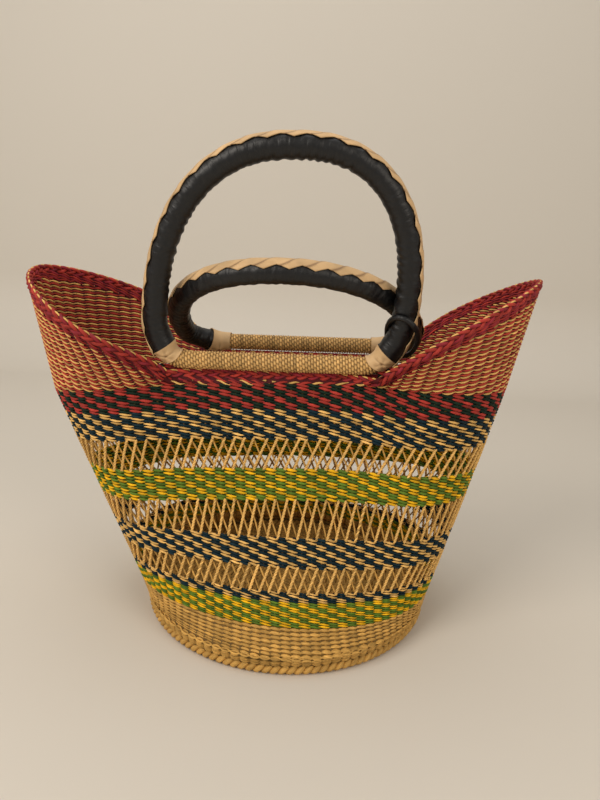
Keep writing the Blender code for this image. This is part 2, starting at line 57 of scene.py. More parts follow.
# %% Camera
PICTURE_HEIGHT = 800
FOCAL_PIXELS = 630
CAMERA_PLACE = np.array([0.0453, -0.6626, 0.41])
CAMERA_TURN, CAMERA_TILT, CAMERA_ROLL = np.radians([2.23, 15.258, -2.556])
SENSOR = 36.0

level_right = np.array([math.cos(CAMERA_TURN), math.sin(CAMERA_TURN), 0])
forward = np.array(
    [
        -math.sin(CAMERA_TURN) * math.cos(CAMERA_TILT),
        math.cos(CAMERA_TURN) * math.cos(CAMERA_TILT),
        -math.sin(CAMERA_TILT),
    ]
)
level_down = np.cross(forward, level_right)
right = math.cos(CAMERA_ROLL) * level_right + math.sin(CAMERA_ROLL) * level_down
down = math.cos(CAMERA_ROLL) * level_down - math.sin(CAMERA_ROLL) * level_right

camera_data = bpy.data.cameras.new("camera")
camera_data.sensor_width = SENSOR
camera_data.lens = FOCAL_PIXELS / PICTURE_HEIGHT * SENSOR
camera = bpy.data.objects.new("camera", camera_data)
bpy.context.scene.collection.objects.link(camera)
pose = np.eye(4)
pose[:3, :3] = np.stack([right, -down, -forward], axis=1)
pose[:3, 3] = CAMERA_PLACE
camera.matrix_world = Matrix(pose.tolist())
bpy.context.scene.camera = camera
print("lens", round(camera_data.lens, 2), "mm")

# %% [markdown]
# ## The surface that the basket is woven on
#
# Every course is a superellipse whose long sides are pinched in. Up the wall it grows from the round
# belly into the long mouth. Above the top course, two wings climb to the rim. A place is a level (or a
# climb on the wings) and a share of the way round, counted from the front centre towards +X, and the
# same sizes as in the solid model are used.

# %% Sizes of the wall
WALL = 0.005
CONTACT_RADIUS, BELLY_RADIUS, BELLY_HEIGHT = 0.155, 0.160, 0.020
TOP_HALF_LENGTH, TOP_HALF_WIDTH = 0.239, 0.094
TOP_FRONT_HEIGHT, TOP_SIDE_HEIGHT = 0.2594, 0.2457
TOP_SQUARENESS, TOP_PINCH = 2.59, 0.394
LENGTH_GROWTH, WIDTH_GROWTH, PINCH_GROWTH = 0.923, 0.60, 0.60
RIM_HALF_LENGTH, RIM_HALF_WIDTH = 0.2614, 0.1705
RIM_SQUARENESS, RIM_PINCH = 1.788, 0.687
RIM_LOW_HEIGHT, WING_TIP_HEIGHT, WING_RISE = 0.2678, 0.3627, 0.795
RIM_TUBE_RADIUS, RIM_TUBE_DROP = 0.0045, 0.0012
PINCH_HALF_LENGTH, PINCH_SQUARENESS = 0.1347, 5.58
LOW_RIM_HALF_LENGTH, LOW_RIM_SHIFT = 0.105, 0.0045
FOOT_SHIFT_X, MOUTH_SHIFT_Y, MOUTH_SKEW = 0.0132, 0.002, 0.18
COURSE_TILT, RIM_TILT = 0.0456, 0.0163
COLUMNS = 100
RING_SAMPLES = 1440
print(COLUMNS, "stakes round the wall")


# %% [markdown]
# A course is one closed line round the basket. A superellipse gives points that crowd where it bends,
# while the stakes of a basket stand at even distances, so every course is sampled again by its length.


# %% Courses of the wall
def signed_power(base, exponent):
    """|base| to an exponent, with the sign of base."""
    return np.sign(base) * np.abs(base) ** exponent


def pinched_ring(half_length, half_width, squareness, pinch):
    """x = a cos^(2/n), y = b sin^(2/n), with y drawn in by the pinch where |x| is small."""
    angle = np.linspace(-math.pi / 2, 3 * math.pi / 2, RING_SAMPLES + 1)
    x = half_length * signed_power(np.cos(angle), 2 / squareness)
    y = half_width * signed_power(np.sin(angle), 2 / squareness)
    return x, y * (1 - pinch / (1 + np.abs(x / PINCH_HALF_LENGTH) ** PINCH_SQUARENESS))


def even_ring(x, y, z):
    """The same closed line, sampled at even distances."""
    points = np.stack([x, y, z], axis=1)
    run = np.concatenate(([0.0], np.cumsum(np.linalg.norm(np.diff(points, axis=0), axis=1))))
    wanted = np.linspace(0, run[-1], RING_SAMPLES + 1)
    return np.stack([np.interp(wanted, run, points[:, i]) for i in range(3)], axis=1)


def leaned(points, tilt, amount):
    """z + tilt x, x + skew y and the mouth's shift, by the share of the mouth's lean."""
    x, y, z = points.T
    moved = x + FOOT_SHIFT_X * (1 - amount) + MOUTH_SKEW * amount * y
    return np.stack([moved, y + MOUTH_SHIFT_Y * amount, z + tilt * x], axis=1)


def wall_course(level):
    """One closed course at a level from -1, the ground, through 0, the belly, to 1, the top course."""
    if level < 0:
        radius = BELLY_RADIUS + (CONTACT_RADIUS - BELLY_RADIUS) * -level
        x, y = pinched_ring(radius, radius, 2.0, 0.0)
        return leaned(even_ring(x, y, x * 0 + BELLY_HEIGHT * (1 + level)), 0.0, 0.0)
    half_length = BELLY_RADIUS + (TOP_HALF_LENGTH - BELLY_RADIUS) * level**LENGTH_GROWTH
    half_width = BELLY_RADIUS + (TOP_HALF_WIDTH - BELLY_RADIUS) * level**WIDTH_GROWTH
    squareness = 2 + (TOP_SQUARENESS - 2) * level
    x, y = pinched_ring(half_length, half_width, squareness, TOP_PINCH * level**PINCH_GROWTH)
    front = BELLY_HEIGHT + (TOP_FRONT_HEIGHT - BELLY_HEIGHT) * level
    side = BELLY_HEIGHT + (TOP_SIDE_HEIGHT - BELLY_HEIGHT) * level
    z = side + (front - side) * (1 - (x / half_length) ** 2)
    return leaned(even_ring(x, y, z), COURSE_TILT * level, level)


def rim_course():
    """The rim line: level along the middle, then climbing to the two wing tips."""
    x, y = pinched_ring(RIM_HALF_LENGTH, RIM_HALF_WIDTH, RIM_SQUARENESS, RIM_PINCH)
    corner = LOW_RIM_HALF_LENGTH + LOW_RIM_SHIFT * np.sign(x)
    climb = np.clip((np.abs(x) - corner) / (RIM_HALF_LENGTH - corner), 0, 1) ** WING_RISE
    z = RIM_LOW_HEIGHT - RIM_TUBE_DROP + (WING_TIP_HEIGHT - RIM_LOW_HEIGHT) * climb
    return leaned(even_ring(x, y, z), RIM_TILT, 1.0)


# %% [markdown]
# Courses at many levels are worked out once and kept as one array. Any place on the wall is then read
# from it by linear steps, together with three unit directions: out of the wall, up the wall and round it.

# %% Read places from the surface
FOOT_STEPS, WALL_STEPS, WING_STEPS = 20, 100, 40
WALL_LEVELS = np.concatenate((np.linspace(-1, 0, FOOT_STEPS + 1)[:-1], np.linspace(0, 1, WALL_STEPS + 1)))
WING_CLIMBS = np.linspace(0, 1, WING_STEPS + 1)
wall_grid = np.array([wall_course(level) for level in WALL_LEVELS])
rim_points = rim_course()
wing_grid = wall_grid[-1] + (rim_points - wall_grid[-1]) * WING_CLIMBS[:, None, None]


def unit(vectors):
    """Vectors divided by their lengths."""
    return vectors / np.linalg.norm(vectors, axis=-1, keepdims=True)


def grid_directions(grid, levels):
    """Unit vectors out of, up and round a grid, from the differences of its neighbours."""
    rise = unit(np.gradient(grid, levels, axis=0))
    ring = grid[:, :-1]
    run = unit(np.roll(ring, -1, axis=1) - np.roll(ring, 1, axis=1))
    run = np.concatenate((run, run[:, :1]), axis=1)
    out = unit(np.cross(run, rise))
    return np.concatenate((grid, out, unit(np.cross(out, run)), run), axis=2)


def read_grid(table, levels, level, share):
    """Reads a table at arrays of levels and shares, linear in both: place, out, up, round."""
    level, share = np.broadcast_arrays(level, np.mod(share, 1.0))
    row = np.clip(np.searchsorted(levels, level, side="right") - 1, 0, len(levels) - 2)
    part = np.clip((level - levels[row]) / (levels[row + 1] - levels[row]), 0, 1)[..., None]
    turn = share * RING_SAMPLES
    column = np.minimum(turn.astype(int), RING_SAMPLES - 1)
    rest = (turn - column)[..., None]
    low = table[row, column] * (1 - rest) + table[row, column + 1] * rest
    high = table[row + 1, column] * (1 - rest) + table[row + 1, column + 1] * rest
    value = low * (1 - part) + high * part
    return value[..., :3], unit(value[..., 3:6]), unit(value[..., 6:9]), unit(value[..., 9:12])


wall_table = grid_directions(wall_grid, WALL_LEVELS)
wing_table = grid_directions(wing_grid, WING_CLIMBS)


def on_wall(level, share):
    """Place, out, up and round on the wall, at a level from -1 to 1 and a share of the way round."""
    return read_grid(wall_table, WALL_LEVELS, level, share)


def on_wing(climb, share):
    """The same above the top course, at a climb from 0 there to 1 at the rim."""
    return read_grid(wing_table, WING_CLIMBS, climb, share)


print("top course", round(float(np.linalg.norm(np.diff(wall_grid[-1], axis=0), axis=1).sum()), 3), "m round")

# %% [markdown]
# ## Colour and nodes
#
# Colours are written as sRGB hex values and turned to linear ones. One helper adds a node with its
# settings and links.


# %% Colour and node helpers
def linear(colour):
    """An sRGB hex colour as three linear values."""
    channels = np.array([int(colour[i : i + 2], 16) / 255 for i in (0, 2, 4)])
    return np.where(channels <= 0.04045, channels / 12.92, ((channels + 0.055) / 1.055) ** 2.4)


def new_material(name):
    """A material with its Principled shader and node tree."""
    made = bpy.data.materials.new(name)
    made.use_nodes = True
    return made, made.node_tree, made.node_tree.nodes["Principled BSDF"]


def add_node(tree, kind, settings=None, **inputs):
    """A node of a kind: settings are its properties, inputs its values or the sockets linked to it. An
    input called i3 is the socket with index 3, where names repeat."""
    node = tree.nodes.new(kind)
    for key, value in (settings or {}).items():
        setattr(node, key, value)
    for key, value in inputs.items():
        socket = node.inputs[int(key[1:])] if key[0] == "i" and key[1:].isdigit() else node.inputs[key]
        if isinstance(value, bpy.types.NodeSocket):
            tree.links.new(value, socket)
        else:
            socket.default_value = value
    return node


# %% [markdown]
# ## Dyed straw
#
# The straw is split grass, twisted between the palms, so each strand has fine ridges along its twist, a
# dull sheen and a dye that took unevenly. The dye of each stitch is a colour attribute on the mesh, and
# the nodes add the fibres: a noise that is long along the strand and fine across it. The fibres are
# drawn half a millimetre apart, coarser than they are, so that they show.

# %% Straw material
FIBRE_PITCH = 0.0005
FIBRE_STRETCH = 0.12
FIBRE_DEPTH = 0.0003
CORD_GIRTH = 0.0082
PLY_DEPTH = 0.0006
STRAW_IOR = 1.45
STRAW_SPECULAR = 0.25


def straw_material(name, roughness, contrast, twist=None):
    """Straw whose colour comes from the Dye attribute, with fibres along the strand's UV. A twist is the
    length of one turn of a two-ply cord, which shows as slanted ridges, with painted shade in the grooves
    between them and a faint painted highlight on their crowns."""
    made, tree, shader = new_material(name)
    dye = add_node(tree, "ShaderNodeVertexColor", {"layer_name": "Dye"})
    place = add_node(tree, "ShaderNodeUVMap", {"uv_map": "Strand"})
    squeeze = (FIBRE_STRETCH / FIBRE_PITCH, 1 / FIBRE_PITCH, 1)
    stretch = add_node(tree, "ShaderNodeMapping", Vector=place.outputs[0], Scale=squeeze)
    fibres = add_node(tree, "ShaderNodeTexNoise", Vector=stretch.outputs[0], Scale=1.0, Detail=3.0)
    fibre = fibres.outputs["Fac"]
    light = add_node(
        tree, "ShaderNodeMapRange", Value=fibre, i1=0.3, i2=0.7, i3=1 - contrast, i4=1 + contrast
    )
    scale = {"operation": "SCALE"}
    colour, amount = dye.outputs["Color"], light.outputs["Result"]
    tint = add_node(tree, "ShaderNodeVectorMath", scale, Vector=colour, Scale=amount)
    bump = add_node(tree, "ShaderNodeBump", Strength=0.5, Distance=FIBRE_DEPTH, Height=fibre)
    if twist:
        ridges = (2 / twist, 1 / CORD_GIRTH, 1)
        slant = add_node(tree, "ShaderNodeMapping", Vector=place.outputs[0], Scale=ridges)
        split = add_node(tree, "ShaderNodeSeparateXYZ", Vector=slant.outputs[0])
        add = {"operation": "ADD"}
        phase = add_node(tree, "ShaderNodeMath", add, i0=split.outputs[0], i1=split.outputs[1])
        ply = add_node(tree, "ShaderNodeMath", {"operation": "PINGPONG"}, i0=phase.outputs[0], i1=0.5)
        # Painted shade darkens the grooves between the plies, and a faint painted highlight lifts their
        # crowns.
        ply_shade_and_highlight = add_node(tree, "ShaderNodeMapRange", Value=ply.outputs[0], i1=0.0, i2=0.3, i3=0.32, i4=1.12)
        tint = add_node(
            tree, "ShaderNodeVectorMath", scale, Vector=tint.outputs["Vector"], Scale=ply_shade_and_highlight.outputs["Result"]
        )
        under = bump.outputs[0]
        bump = add_node(
            tree, "ShaderNodeBump", Strength=0.8, Distance=PLY_DEPTH, Height=ply.outputs[0], Normal=under
        )
    tree.links.new(tint.outputs["Vector"], shader.inputs["Base Color"])
    tree.links.new(bump.outputs["Normal"], shader.inputs["Normal"])
    shader.inputs["Roughness"].default_value = roughness
    shader.inputs["IOR"].default_value = STRAW_IOR
    shader.inputs["Specular IOR Level"].default_value = STRAW_SPECULAR
    return made


straw = straw_material("dyed_twisted_straw", 0.62, 0.30)

# %% [markdown]
# ## Strands as grids
#
# A strand is a round profile carried along a path. Many strands are built at once: the paths are one
# array of strands by samples by three, the profile turns round each path in the plane of two given
# directions, and the whole mesh is written with foreach_set. A bevelled curve would make a strand too,
# but not thousands of them at once, each with its own flatness and dye. Skins are grids of quads.


# %% Strand meshes
def put_mesh(name, points, corners, sizes, uvs, colours, material):
    """A mesh from arrays: points, the corners of all faces in a row, and each face's corner count."""
    mesh = bpy.data.meshes.new(name)
    mesh.vertices.add(len(points))
    mesh.vertices.foreach_set("co", points.astype(np.float32).ravel())
    mesh.loops.add(len(corners))
    mesh.loops.foreach_set("vertex_index", corners.astype(np.int32))
    mesh.polygons.add(len(sizes))
    starts = np.concatenate(([0], np.cumsum(sizes)[:-1])).astype(np.int32)
    mesh.polygons.foreach_set("loop_start", starts)
    mesh.polygons.foreach_set("use_smooth", np.ones(len(sizes), bool))
    layer = mesh.uv_layers.new(name="Strand")
    layer.data.foreach_set("uv", uvs.astype(np.float32).ravel())
    if colours is not None:
        dye = mesh.color_attributes.new("Dye", "FLOAT_COLOR", "POINT")
        rgba = np.concatenate((colours, np.ones((len(colours), 1))), axis=1)
        dye.data.foreach_set("color", rgba.astype(np.float32).ravel())
    mesh.update(calc_edges=True)
    mesh.validate()
    mesh.materials.append(material)
    made = bpy.data.objects.new(name, mesh)
    bpy.context.scene.collection.objects.link(made)
    return made


def skin(name, points, grid, spans, uv_of, shades, material):
    """Quads over the spans of a grid of rows by columns, which wraps round. uv_of(i, j) gives both UVs."""
    rows, columns = grid
    i, j = [part.ravel() for part in np.meshgrid(np.arange(spans[0]), np.arange(spans[1]), indexing="ij")]
    steps = ((0, 0), (0, 1), (1, 1), (1, 0))
    quads = np.stack([(i + a) % rows * columns + (j + b) % columns for a, b in steps], axis=1)
    uvs = np.stack([np.stack(uv_of(i + a, j + b), axis=1) for a, b in steps], axis=1)
    sizes = np.full(len(quads), 4)
    return put_mesh(name, points, quads.ravel(), sizes, uvs.reshape(-1, 2), shades, material)


GRAIN_SHIFT = 0.37


def strands(name, paths, side, radii, colours, material, sides=6, closed=False):
    """Tubes: each ring is path + r1 cos(a) e1 + r2 sin(a) e2, with e1 the side made square to the path and
    e2 square to both. radii spreads to (..., 2) and colours to (..., 3), per strand and sample."""
    count, samples = paths.shape[:2]
    if closed:
        tangent = np.roll(paths, -1, axis=1) - np.roll(paths, 1, axis=1)
    else:
        tangent = np.gradient(paths, axis=1)
    tangent = unit(tangent)
    first = unit(side - np.sum(side * tangent, axis=-1, keepdims=True) * tangent)
    second = np.cross(tangent, first)
    angle = np.arange(sides) / sides * 2 * math.pi
    radii = np.broadcast_to(radii, (count, samples, 2))
    ring = radii[..., :1, None] * np.cos(angle)[:, None] * first[..., None, :]
    ring = ring + radii[..., 1:, None] * np.sin(angle)[:, None] * second[..., None, :]
    points = paths[:, :, None] + ring
    spans = samples if closed else samples - 1
    s, i, j = np.meshgrid(np.arange(count), np.arange(spans), np.arange(sides), indexing="ij")
    s, i, j = s.ravel(), i.ravel(), j.ravel()
    steps = ((0, 0), (1, 0), (1, 1), (0, 1))
    quads = np.stack([(s * samples + (i + a) % samples) * sides + (j + b) % sides for a, b in steps], axis=1)
    length = np.linalg.norm(np.roll(paths, -1, axis=1) - paths, axis=-1)
    run = np.concatenate((np.zeros((count, 1)), np.cumsum(length, axis=1)), axis=1)
    run = run + GRAIN_SHIFT * np.arange(count)[:, None]
    facet = 2 * math.pi * float(np.mean(radii)) / sides
    uvs = np.stack([np.stack([run[s, i + a], (j + b) * facet], axis=1) for a, b in steps], axis=1)
    corners, uv_rows, sizes = [quads.ravel()], [uvs.reshape(-1, 2)], [np.full(len(quads), 4)]
    if not closed:
        base = (np.arange(count) * samples * sides)[:, None]
        start_caps = base + np.arange(sides)[None]
        end_caps = base + (samples - 1) * sides + np.arange(sides)[None, ::-1]
        corners += [start_caps.ravel(), end_caps.ravel()]
        uv_rows += [np.zeros((2 * count * sides, 2))]
        sizes += [np.full(2 * count, sides)]
    corners, uvs, sizes = np.concatenate(corners), np.concatenate(uv_rows), np.concatenate(sizes)
    shades = np.broadcast_to(colours, (count, samples, 3))
    shades = np.repeat(shades.reshape(-1, 3), sides, axis=0)
    return put_mesh(name, points.reshape(-1, 3), corners, sizes, uvs, shades, material)


# %% [markdown]
# ## Twining
#
# In one row, two strands twist round each other half a turn for every stake. A strand is outside at
# every second stake and inside at the stakes between, so the row's path is a flat helix: out by a cosine
# and down by a sine of half a turn a column. A check of two dyes needs no more than one strand of each.
# The dye of each stitch is a little lighter or darker than its neighbours, as on the real straw.

# %% Dyes
DYES = {
    "natural": linear("C0954E"),
    "cream": linear("DBAF66"),
    "red": linear("A3352C"),
    "crimson": linear("8A2730"),
    "forest": linear("0A2216"),
    "navy": linear("04222C"),
    "green": linear("587323"),
    "yellow": linear("E0AC12"),
}
PLUMPNESS = {"cream": 0.40, "yellow": 0.45, "natural": 0.47}
DARK_STRANDS = 0.50
STAKE = linear("A77B3C")
STRAND_SPREAD, STITCH_LIMITS = 0.14, (0.55, 1.5)
chance = np.random.default_rng(7)
print(len(DYES), "dyes")


def uneven(spread, shape, low=0.6, high=1.4):
    """Lightnesses round 1, one for each stitch, turn or strand, as dye takes on straw."""
    return np.clip(1 + spread * chance.standard_normal(shape), low, high)


def even_shades(dye, count):
    """The colours of many strands of one dye, each with a lightness of its own."""
    return DYES[dye] * uneven(STRAND_SPREAD, (count, 1, 1))


# %% [markdown]
# A band of full rows is made in three layers. The strands twist round the stakes, the stakes stand in
# mid-wall, and a thin dark skin between them stands for the shade inside the weave, so that no light
# shows through. The bands aren't quite level: they drift and sag as the weaver's rows do.


# %% Rows of twining on the wall
SAMPLES_PER_COLUMN = 4
STRAND_DEPTH, TWIST_DEPTH = 0.0011, 0.0015
STITCH_SQUARENESS, PLUMP_POWER = 0.7, 0.8
LEVEL_LEAN, DRIFT_START, DRIFT_SPAN = 0.12, -0.435, 0.51
LEFT_SAG, LEFT_START, LEFT_SPAN = 0.035, 0.05, 0.2
BACK_SAG, BACK_SPAN = 0.050, 0.06
SAG_LEVEL, SAG_REACH = 0.56, 0.14
LEVEL_SAMPLES, STAKE_SAMPLES, SHADE_LEVELS = 41, 7, 13
WANDER, WANDER_WAVES, THICKNESS_SPREAD = 0.0002, 5, 0.05
BAND_SPREAD = 0.16
STAKE_RADIUS = 0.0010
BACKING_DEPTH, BACKING_SHADE, BACKING_GRAIN = 0.0006, 0.30, (0.0026, 0.001)
FOOT_TUCK = 0.4
UPWARD = np.array([0, 0, 1])


def leaning_level(level, share):
    """A band's level with the weaver's drift: near the foot it falls towards +X by up to 0.12 times x, and
    in the middle of the wall it sags, by a bell curve of the level, towards -X and at the back."""
    middle = on_wall(np.maximum(level, 0), share)[0]
    x, y = middle[..., 0], middle[..., 1]
    drift = np.clip((level - DRIFT_START) / DRIFT_SPAN, 0, 1) * (1 - np.maximum(level, 0))
    sag = LEFT_SAG * np.clip((LEFT_START - x) / LEFT_SPAN, 0, 1)
    sag = sag + BACK_SAG * np.clip(0.5 + y / BACK_SPAN, 0, 1)
    return level - LEVEL_LEAN * drift * x - sag * np.exp(-(((level - SAG_LEVEL) / SAG_REACH) ** 2))


def even_levels(low, high, rows):
    """Levels in the middle of rows that are evenly spaced along the front centre, and the rows' steps."""
    levels = np.linspace(low, high, LEVEL_SAMPLES)
    points = on_wall(levels, np.zeros(LEVEL_SAMPLES))[0]
    run = np.concatenate(([0.0], np.cumsum(np.linalg.norm(np.diff(points, axis=0), axis=1))))
    edges = np.interp(np.linspace(0, run[-1], rows + 1), run, levels)
    return (edges[1:] + edges[:-1]) / 2, np.diff(edges)


def twine(place, height, step, share, column, slant, dyes):
    """Paths, radii and sides of both strands of a row: mid-wall + depth cos(t) out - slant pitch sin(t) up,
    where t makes half a turn a column."""
    middle, out, up, _ = place(height, share)
    rise = place(height + step / 2, share)[0] - place(height - step / 2, share)[0]
    pitch = np.sum(rise * up, axis=-1)
    middle = middle - out * (WALL / 2)
    paths, radii = [], []
    for strand, dye in enumerate(dyes):
        turn = math.pi * (column + strand)
        away = TWIST_DEPTH * signed_power(np.cos(turn), STITCH_SQUARENESS)
        fall = slant * pitch * np.sin(turn)
        paths.append(middle + out * away[:, None] - up * fall[:, None])
        plump = 0.5 + 0.5 * np.abs(np.cos(turn)) ** PLUMP_POWER
        half_height = PLUMPNESS.get(dye, DARK_STRANDS) * pitch * plump
        radii.append(np.stack([STRAND_DEPTH * plump, half_height], axis=-1))
    return np.array(paths), np.array(radii), np.stack([out, out])


def shades_of(dyes, column, spread):
    """The colour of each sample of both strands, with its stitch's lightness."""
    stitch = np.round(column).astype(int) % COLUMNS
    lift = uneven(spread, (2, COLUMNS), *STITCH_LIMITS)
    return np.array([DYES[dye] * lift[k, stitch][:, None] for k, dye in enumerate(dyes)])


def joined(name, pieces):
    """One object made of several, with the first piece's material."""
    with bpy.context.temp_override(active_object=pieces[0], selected_editable_objects=pieces):
        bpy.ops.object.join()
    pieces[0].name = pieces[0].data.name = name
    return pieces[0]


def seat(piece, body, node):
    """The piece rides on a body and stands for a node, whose solid is hidden."""
    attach(piece, body)
    if node:
        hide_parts(node)
    print(piece.name, len(piece.data.polygons), "faces")


def backing(name, place, heights, share, shade):
    """A closed thin skin at mid-wall, up its outer face and down its inner one. It stands for the shade
    between the strands. heights is levels by samples, all the way round."""
    centre, out, _, _ = place(heights, share)
    middle = centre - out * (WALL / 2)
    step = out * BACKING_DEPTH / 2
    profile = np.concatenate((middle + step, (middle - step)[::-1]))
    grid = profile.shape[:2]
    shades = np.broadcast_to(shade, (grid[0] * grid[1], 3))
    across, up = BACKING_GRAIN
    return skin(name, profile.reshape(-1, 3), grid, grid, lambda i, j: (j * across, i * up), shades, straw)


def wall_band(name, node, low, high, rows, row_dyes, slant, finish):
    """A band of full rows. row_dyes(row) gives the dyes of strands outside at even and odd columns."""
    column = np.arange(COLUMNS * SAMPLES_PER_COLUMN) / SAMPLES_PER_COLUMN
    share = column / COLUMNS
    levels, steps = even_levels(low, high, rows)
    made = []
    for row in range(rows):
        height = leaning_level(levels[row] + 0 * share, share)
        dyes = row_dyes(row)
        path, radius, side = twine(on_wall, height, steps[row], share, column, slant, dyes)
        wave = np.sin(2 * math.pi * (WANDER_WAVES * share + chance.uniform()))
        path = path + UPWARD * (WANDER * wave * chance.standard_normal())[:, None]
        radius = radius * (1 + THICKNESS_SPREAD * chance.standard_normal())
        made.append((path, side, radius, shades_of(dyes, column, BAND_SPREAD)))
    paths, sides, radii, shades = [np.concatenate(part) for part in zip(*made)]
    band = strands(name, paths, sides, radii, shades, straw, closed=True)
    stake_share = (np.arange(COLUMNS) / COLUMNS)[:, None]
    stake_height = leaning_level(np.linspace(low, high, STAKE_SAMPLES) + 0 * stake_share, stake_share)
    centre, out, _, _ = on_wall(stake_height, stake_share)
    middle = centre - out * (WALL / 2)
    stakes = strands(name + "_stakes", middle, out, STAKE_RADIUS, STAKE, straw, sides=5)
    inset = min(0.0, low) * FOOT_TUCK
    heights = leaning_level(np.linspace(low + inset, high, SHADE_LEVELS)[:, None] + 0 * share, share)
    dark = np.minimum(DYES[dyes[0]], DYES[dyes[1]]) * BACKING_SHADE
    shade = backing(name + "_shade", on_wall, heights, share, dark)
    seat(joined(name, [band, stakes, shade]), "body", node)


# %% [markdown]
# The stripes, from the foot up. Each line has the piece and the solid that it stands for, its lower and
# upper level, its number of rows, its dyes, the slant of its stitches and its finish. A block of a check
# is one stitch wide and two rows high, so the two dyes change places after every second row.


# %% Striped bands
def blocks(first, second):
    """Dyes that change places after every second row."""
    return lambda row: (first, second) if row // 2 % 2 == 0 else (second, first)


PLAIN = blocks("natural", "natural")
STRIPES = (
    ("natural_twining_low", "natural_band", -0.435, -0.11, 9, PLAIN, 0.10, "straw_natural"),
    ("natural_twining_high", None, -0.11, 0.075, 9, PLAIN, 0.10, "straw_natural"),
    ("lower_green_twining", "lower_green_yellow_band", 0.075, 0.153, 10, blocks("green", "yellow"), 0.28,
     "straw_green_yellow"),
    ("lower_navy_twining", "lower_navy_cream_band", 0.153, 0.187, 4, blocks("navy", "cream"), 0.32,
     "straw_navy_cream"),
    ("middle_navy_twining", "middle_navy_cream_band", 0.271, 0.386, 10, blocks("cream", "navy"), 0.33,
     "straw_navy_cream"),
    ("upper_green_twining", "upper_green_yellow_band", 0.534, 0.661, 10, blocks("yellow", "green"), 0.26,
     "straw_green_yellow"),
    ("upper_navy_twining", "upper_navy_cream_band", 0.772, 0.895, 10, blocks("navy", "cream"), 0.33,
     "straw_navy_cream"),
    ("red_green_twining", "red_green_band", 0.895, 1.0, 8, blocks("red", "forest"), 0.33, "straw_red_green"),
)
for stripe in STRIPES:
    wall_band(*stripe)

# %% [markdown]
# ## Openwork
#
# In the see-through bands there is no weft. Each stake is a two-ply straw cord that leans about one
# column to the right, in front of plain stakes that lean to the left. Both are caught in the rows above
# and below. Each line below has the levels of a band and the lean of its cords and of its stakes.

# %% Openwork bands
PLY_RADIUS, PLY_OFFSET, PLY_PITCH = 0.00088, 0.00078, 0.0066
CORD_SAMPLES, CORD_PROUD = 28, 0.0012
BACK_STAKE_RADIUS, BACK_STAKE_SAMPLES, BACK_STAKE_DEPTH = 0.00095, 9, 0.0009
JITTER, BOW, PHASE_RANGE = 0.07, 0.10, 6.28
OPENWORK_TUCK = 0.006
OPENWORK = (
    ("lower_openwork_stakes", "lower_openwork_band", 0.187, 0.271, 1.15, 1.1),
    ("middle_openwork_stakes", "middle_openwork_band", 0.386, 0.534, 1.0, 1.2),
    ("upper_openwork_stakes", "upper_openwork_band", 0.661, 0.772, 1.35, 1.35),
)


def crossing(low, high, share):
    """Places along slanted stakes that reach a little into the rows above and below."""
    rise = np.linspace(0, 1, share.shape[1])
    height = low - OPENWORK_TUCK + (high - low + 2 * OPENWORK_TUCK) * rise + 0 * share
    return on_wall(leaning_level(height, share), share)


def front_cords(name, low, high, column, jitter, lean):
    """Two plies of each cord, centre + offset (cos t out + sin t round), leaning to the right."""
    rise = np.linspace(0, 1, CORD_SAMPLES)
    centre, out, _, way = crossing(low, high, (column + jitter + (lean + jitter) * (rise - 0.5)) / COLUMNS)
    span = np.linalg.norm(centre[:, -1] - centre[:, 0], axis=-1)[:, None]
    turn = 2 * math.pi * rise * span / PLY_PITCH + chance.uniform(0, PHASE_RANGE, (COLUMNS, 1))
    middle = centre - out * (WALL / 2 - CORD_PROUD)
    plies = []
    for half in (0, math.pi):
        around = np.cos(turn + half)[..., None] * out + np.sin(turn + half)[..., None] * way
        plies.append(middle + PLY_OFFSET * around)
    shades = even_shades("cream", 2 * COLUMNS)
    sides = np.concatenate((out, out))
    return strands(name + "_front", np.concatenate(plies), sides, PLY_RADIUS, shades, straw, sides=5)


def back_stakes(name, low, high, column, jitter, lean):
    """Plain stakes behind the cords, leaning to the left and bowed by half a sine."""
    rise = np.linspace(0, 1, BACK_STAKE_SAMPLES)
    bow = BOW * np.sin(math.pi * rise) * chance.standard_normal((COLUMNS, 1))
    centre, out, _, _ = crossing(low, high, (column + jitter - lean * (rise - 0.5) + bow) / COLUMNS)
    middle = centre - out * (WALL / 2 + BACK_STAKE_DEPTH)
    return strands(name + "_back", middle, out, BACK_STAKE_RADIUS, even_shades("natural", COLUMNS), straw)


for name, node, low, high, front_lean, back_lean in OPENWORK:
    column = np.arange(COLUMNS)[:, None]
    jitter = chance.normal(0, JITTER, (COLUMNS, 1))
    cords = front_cords(name, low, high, column, jitter, front_lean)
    backs = back_stakes(name, low, high, column, jitter, back_lean)
    seat(joined(name, [cords, backs]), "body", node)

# %% [markdown]
# ## Wings
#
# The wings are woven in rows that stay parallel to the top course, and each row ends where it meets the
# rim. Red and cream stitches change places with every row and every stake. A row's height is a distance
# from the top course, so every row is worked out all the way round and then cut to the wing.

# %% Wing rows
WING_PITCH, MOST_WING_ROWS = 0.00275, 60
RIM_ROWS, RIM_ROW_PITCH, RIM_ROW_START = 3, 0.0027, 0.0037
SHORTEST_ROW = 6
WING_HALF_SHARE, FIRST_ROW_LIMIT = 0.25, 0.9
WING_SPREAD = 0.15
SLANT_PLACES = (0.0, 0.22, 0.28, 0.48, 0.52, 0.72, 0.78, 1.0)
WING_SLANTS = (-0.4, -0.4, -0.15, -0.15, 0.6, 0.6, 0.9, 0.9)
WINGS = (("right_wing_twining", "wing_right", 0.25), ("left_wing_twining", "wing_left", 0.75))

fine = np.arange(COLUMNS * SAMPLES_PER_COLUMN) / (COLUMNS * SAMPLES_PER_COLUMN)
foot_of_wing, _, _, way_low = on_wing(0.0, fine)
top_of_wing, _, _, way_high = on_wing(1.0, fine)
reach = top_of_wing - foot_of_wing
low_height = np.linalg.norm(np.cross(reach, way_low), axis=1)
high_height = np.linalg.norm(np.cross(reach, way_high), axis=1)
check_limit = 1 - (RIM_ROW_START + RIM_ROWS * RIM_ROW_PITCH) / high_height


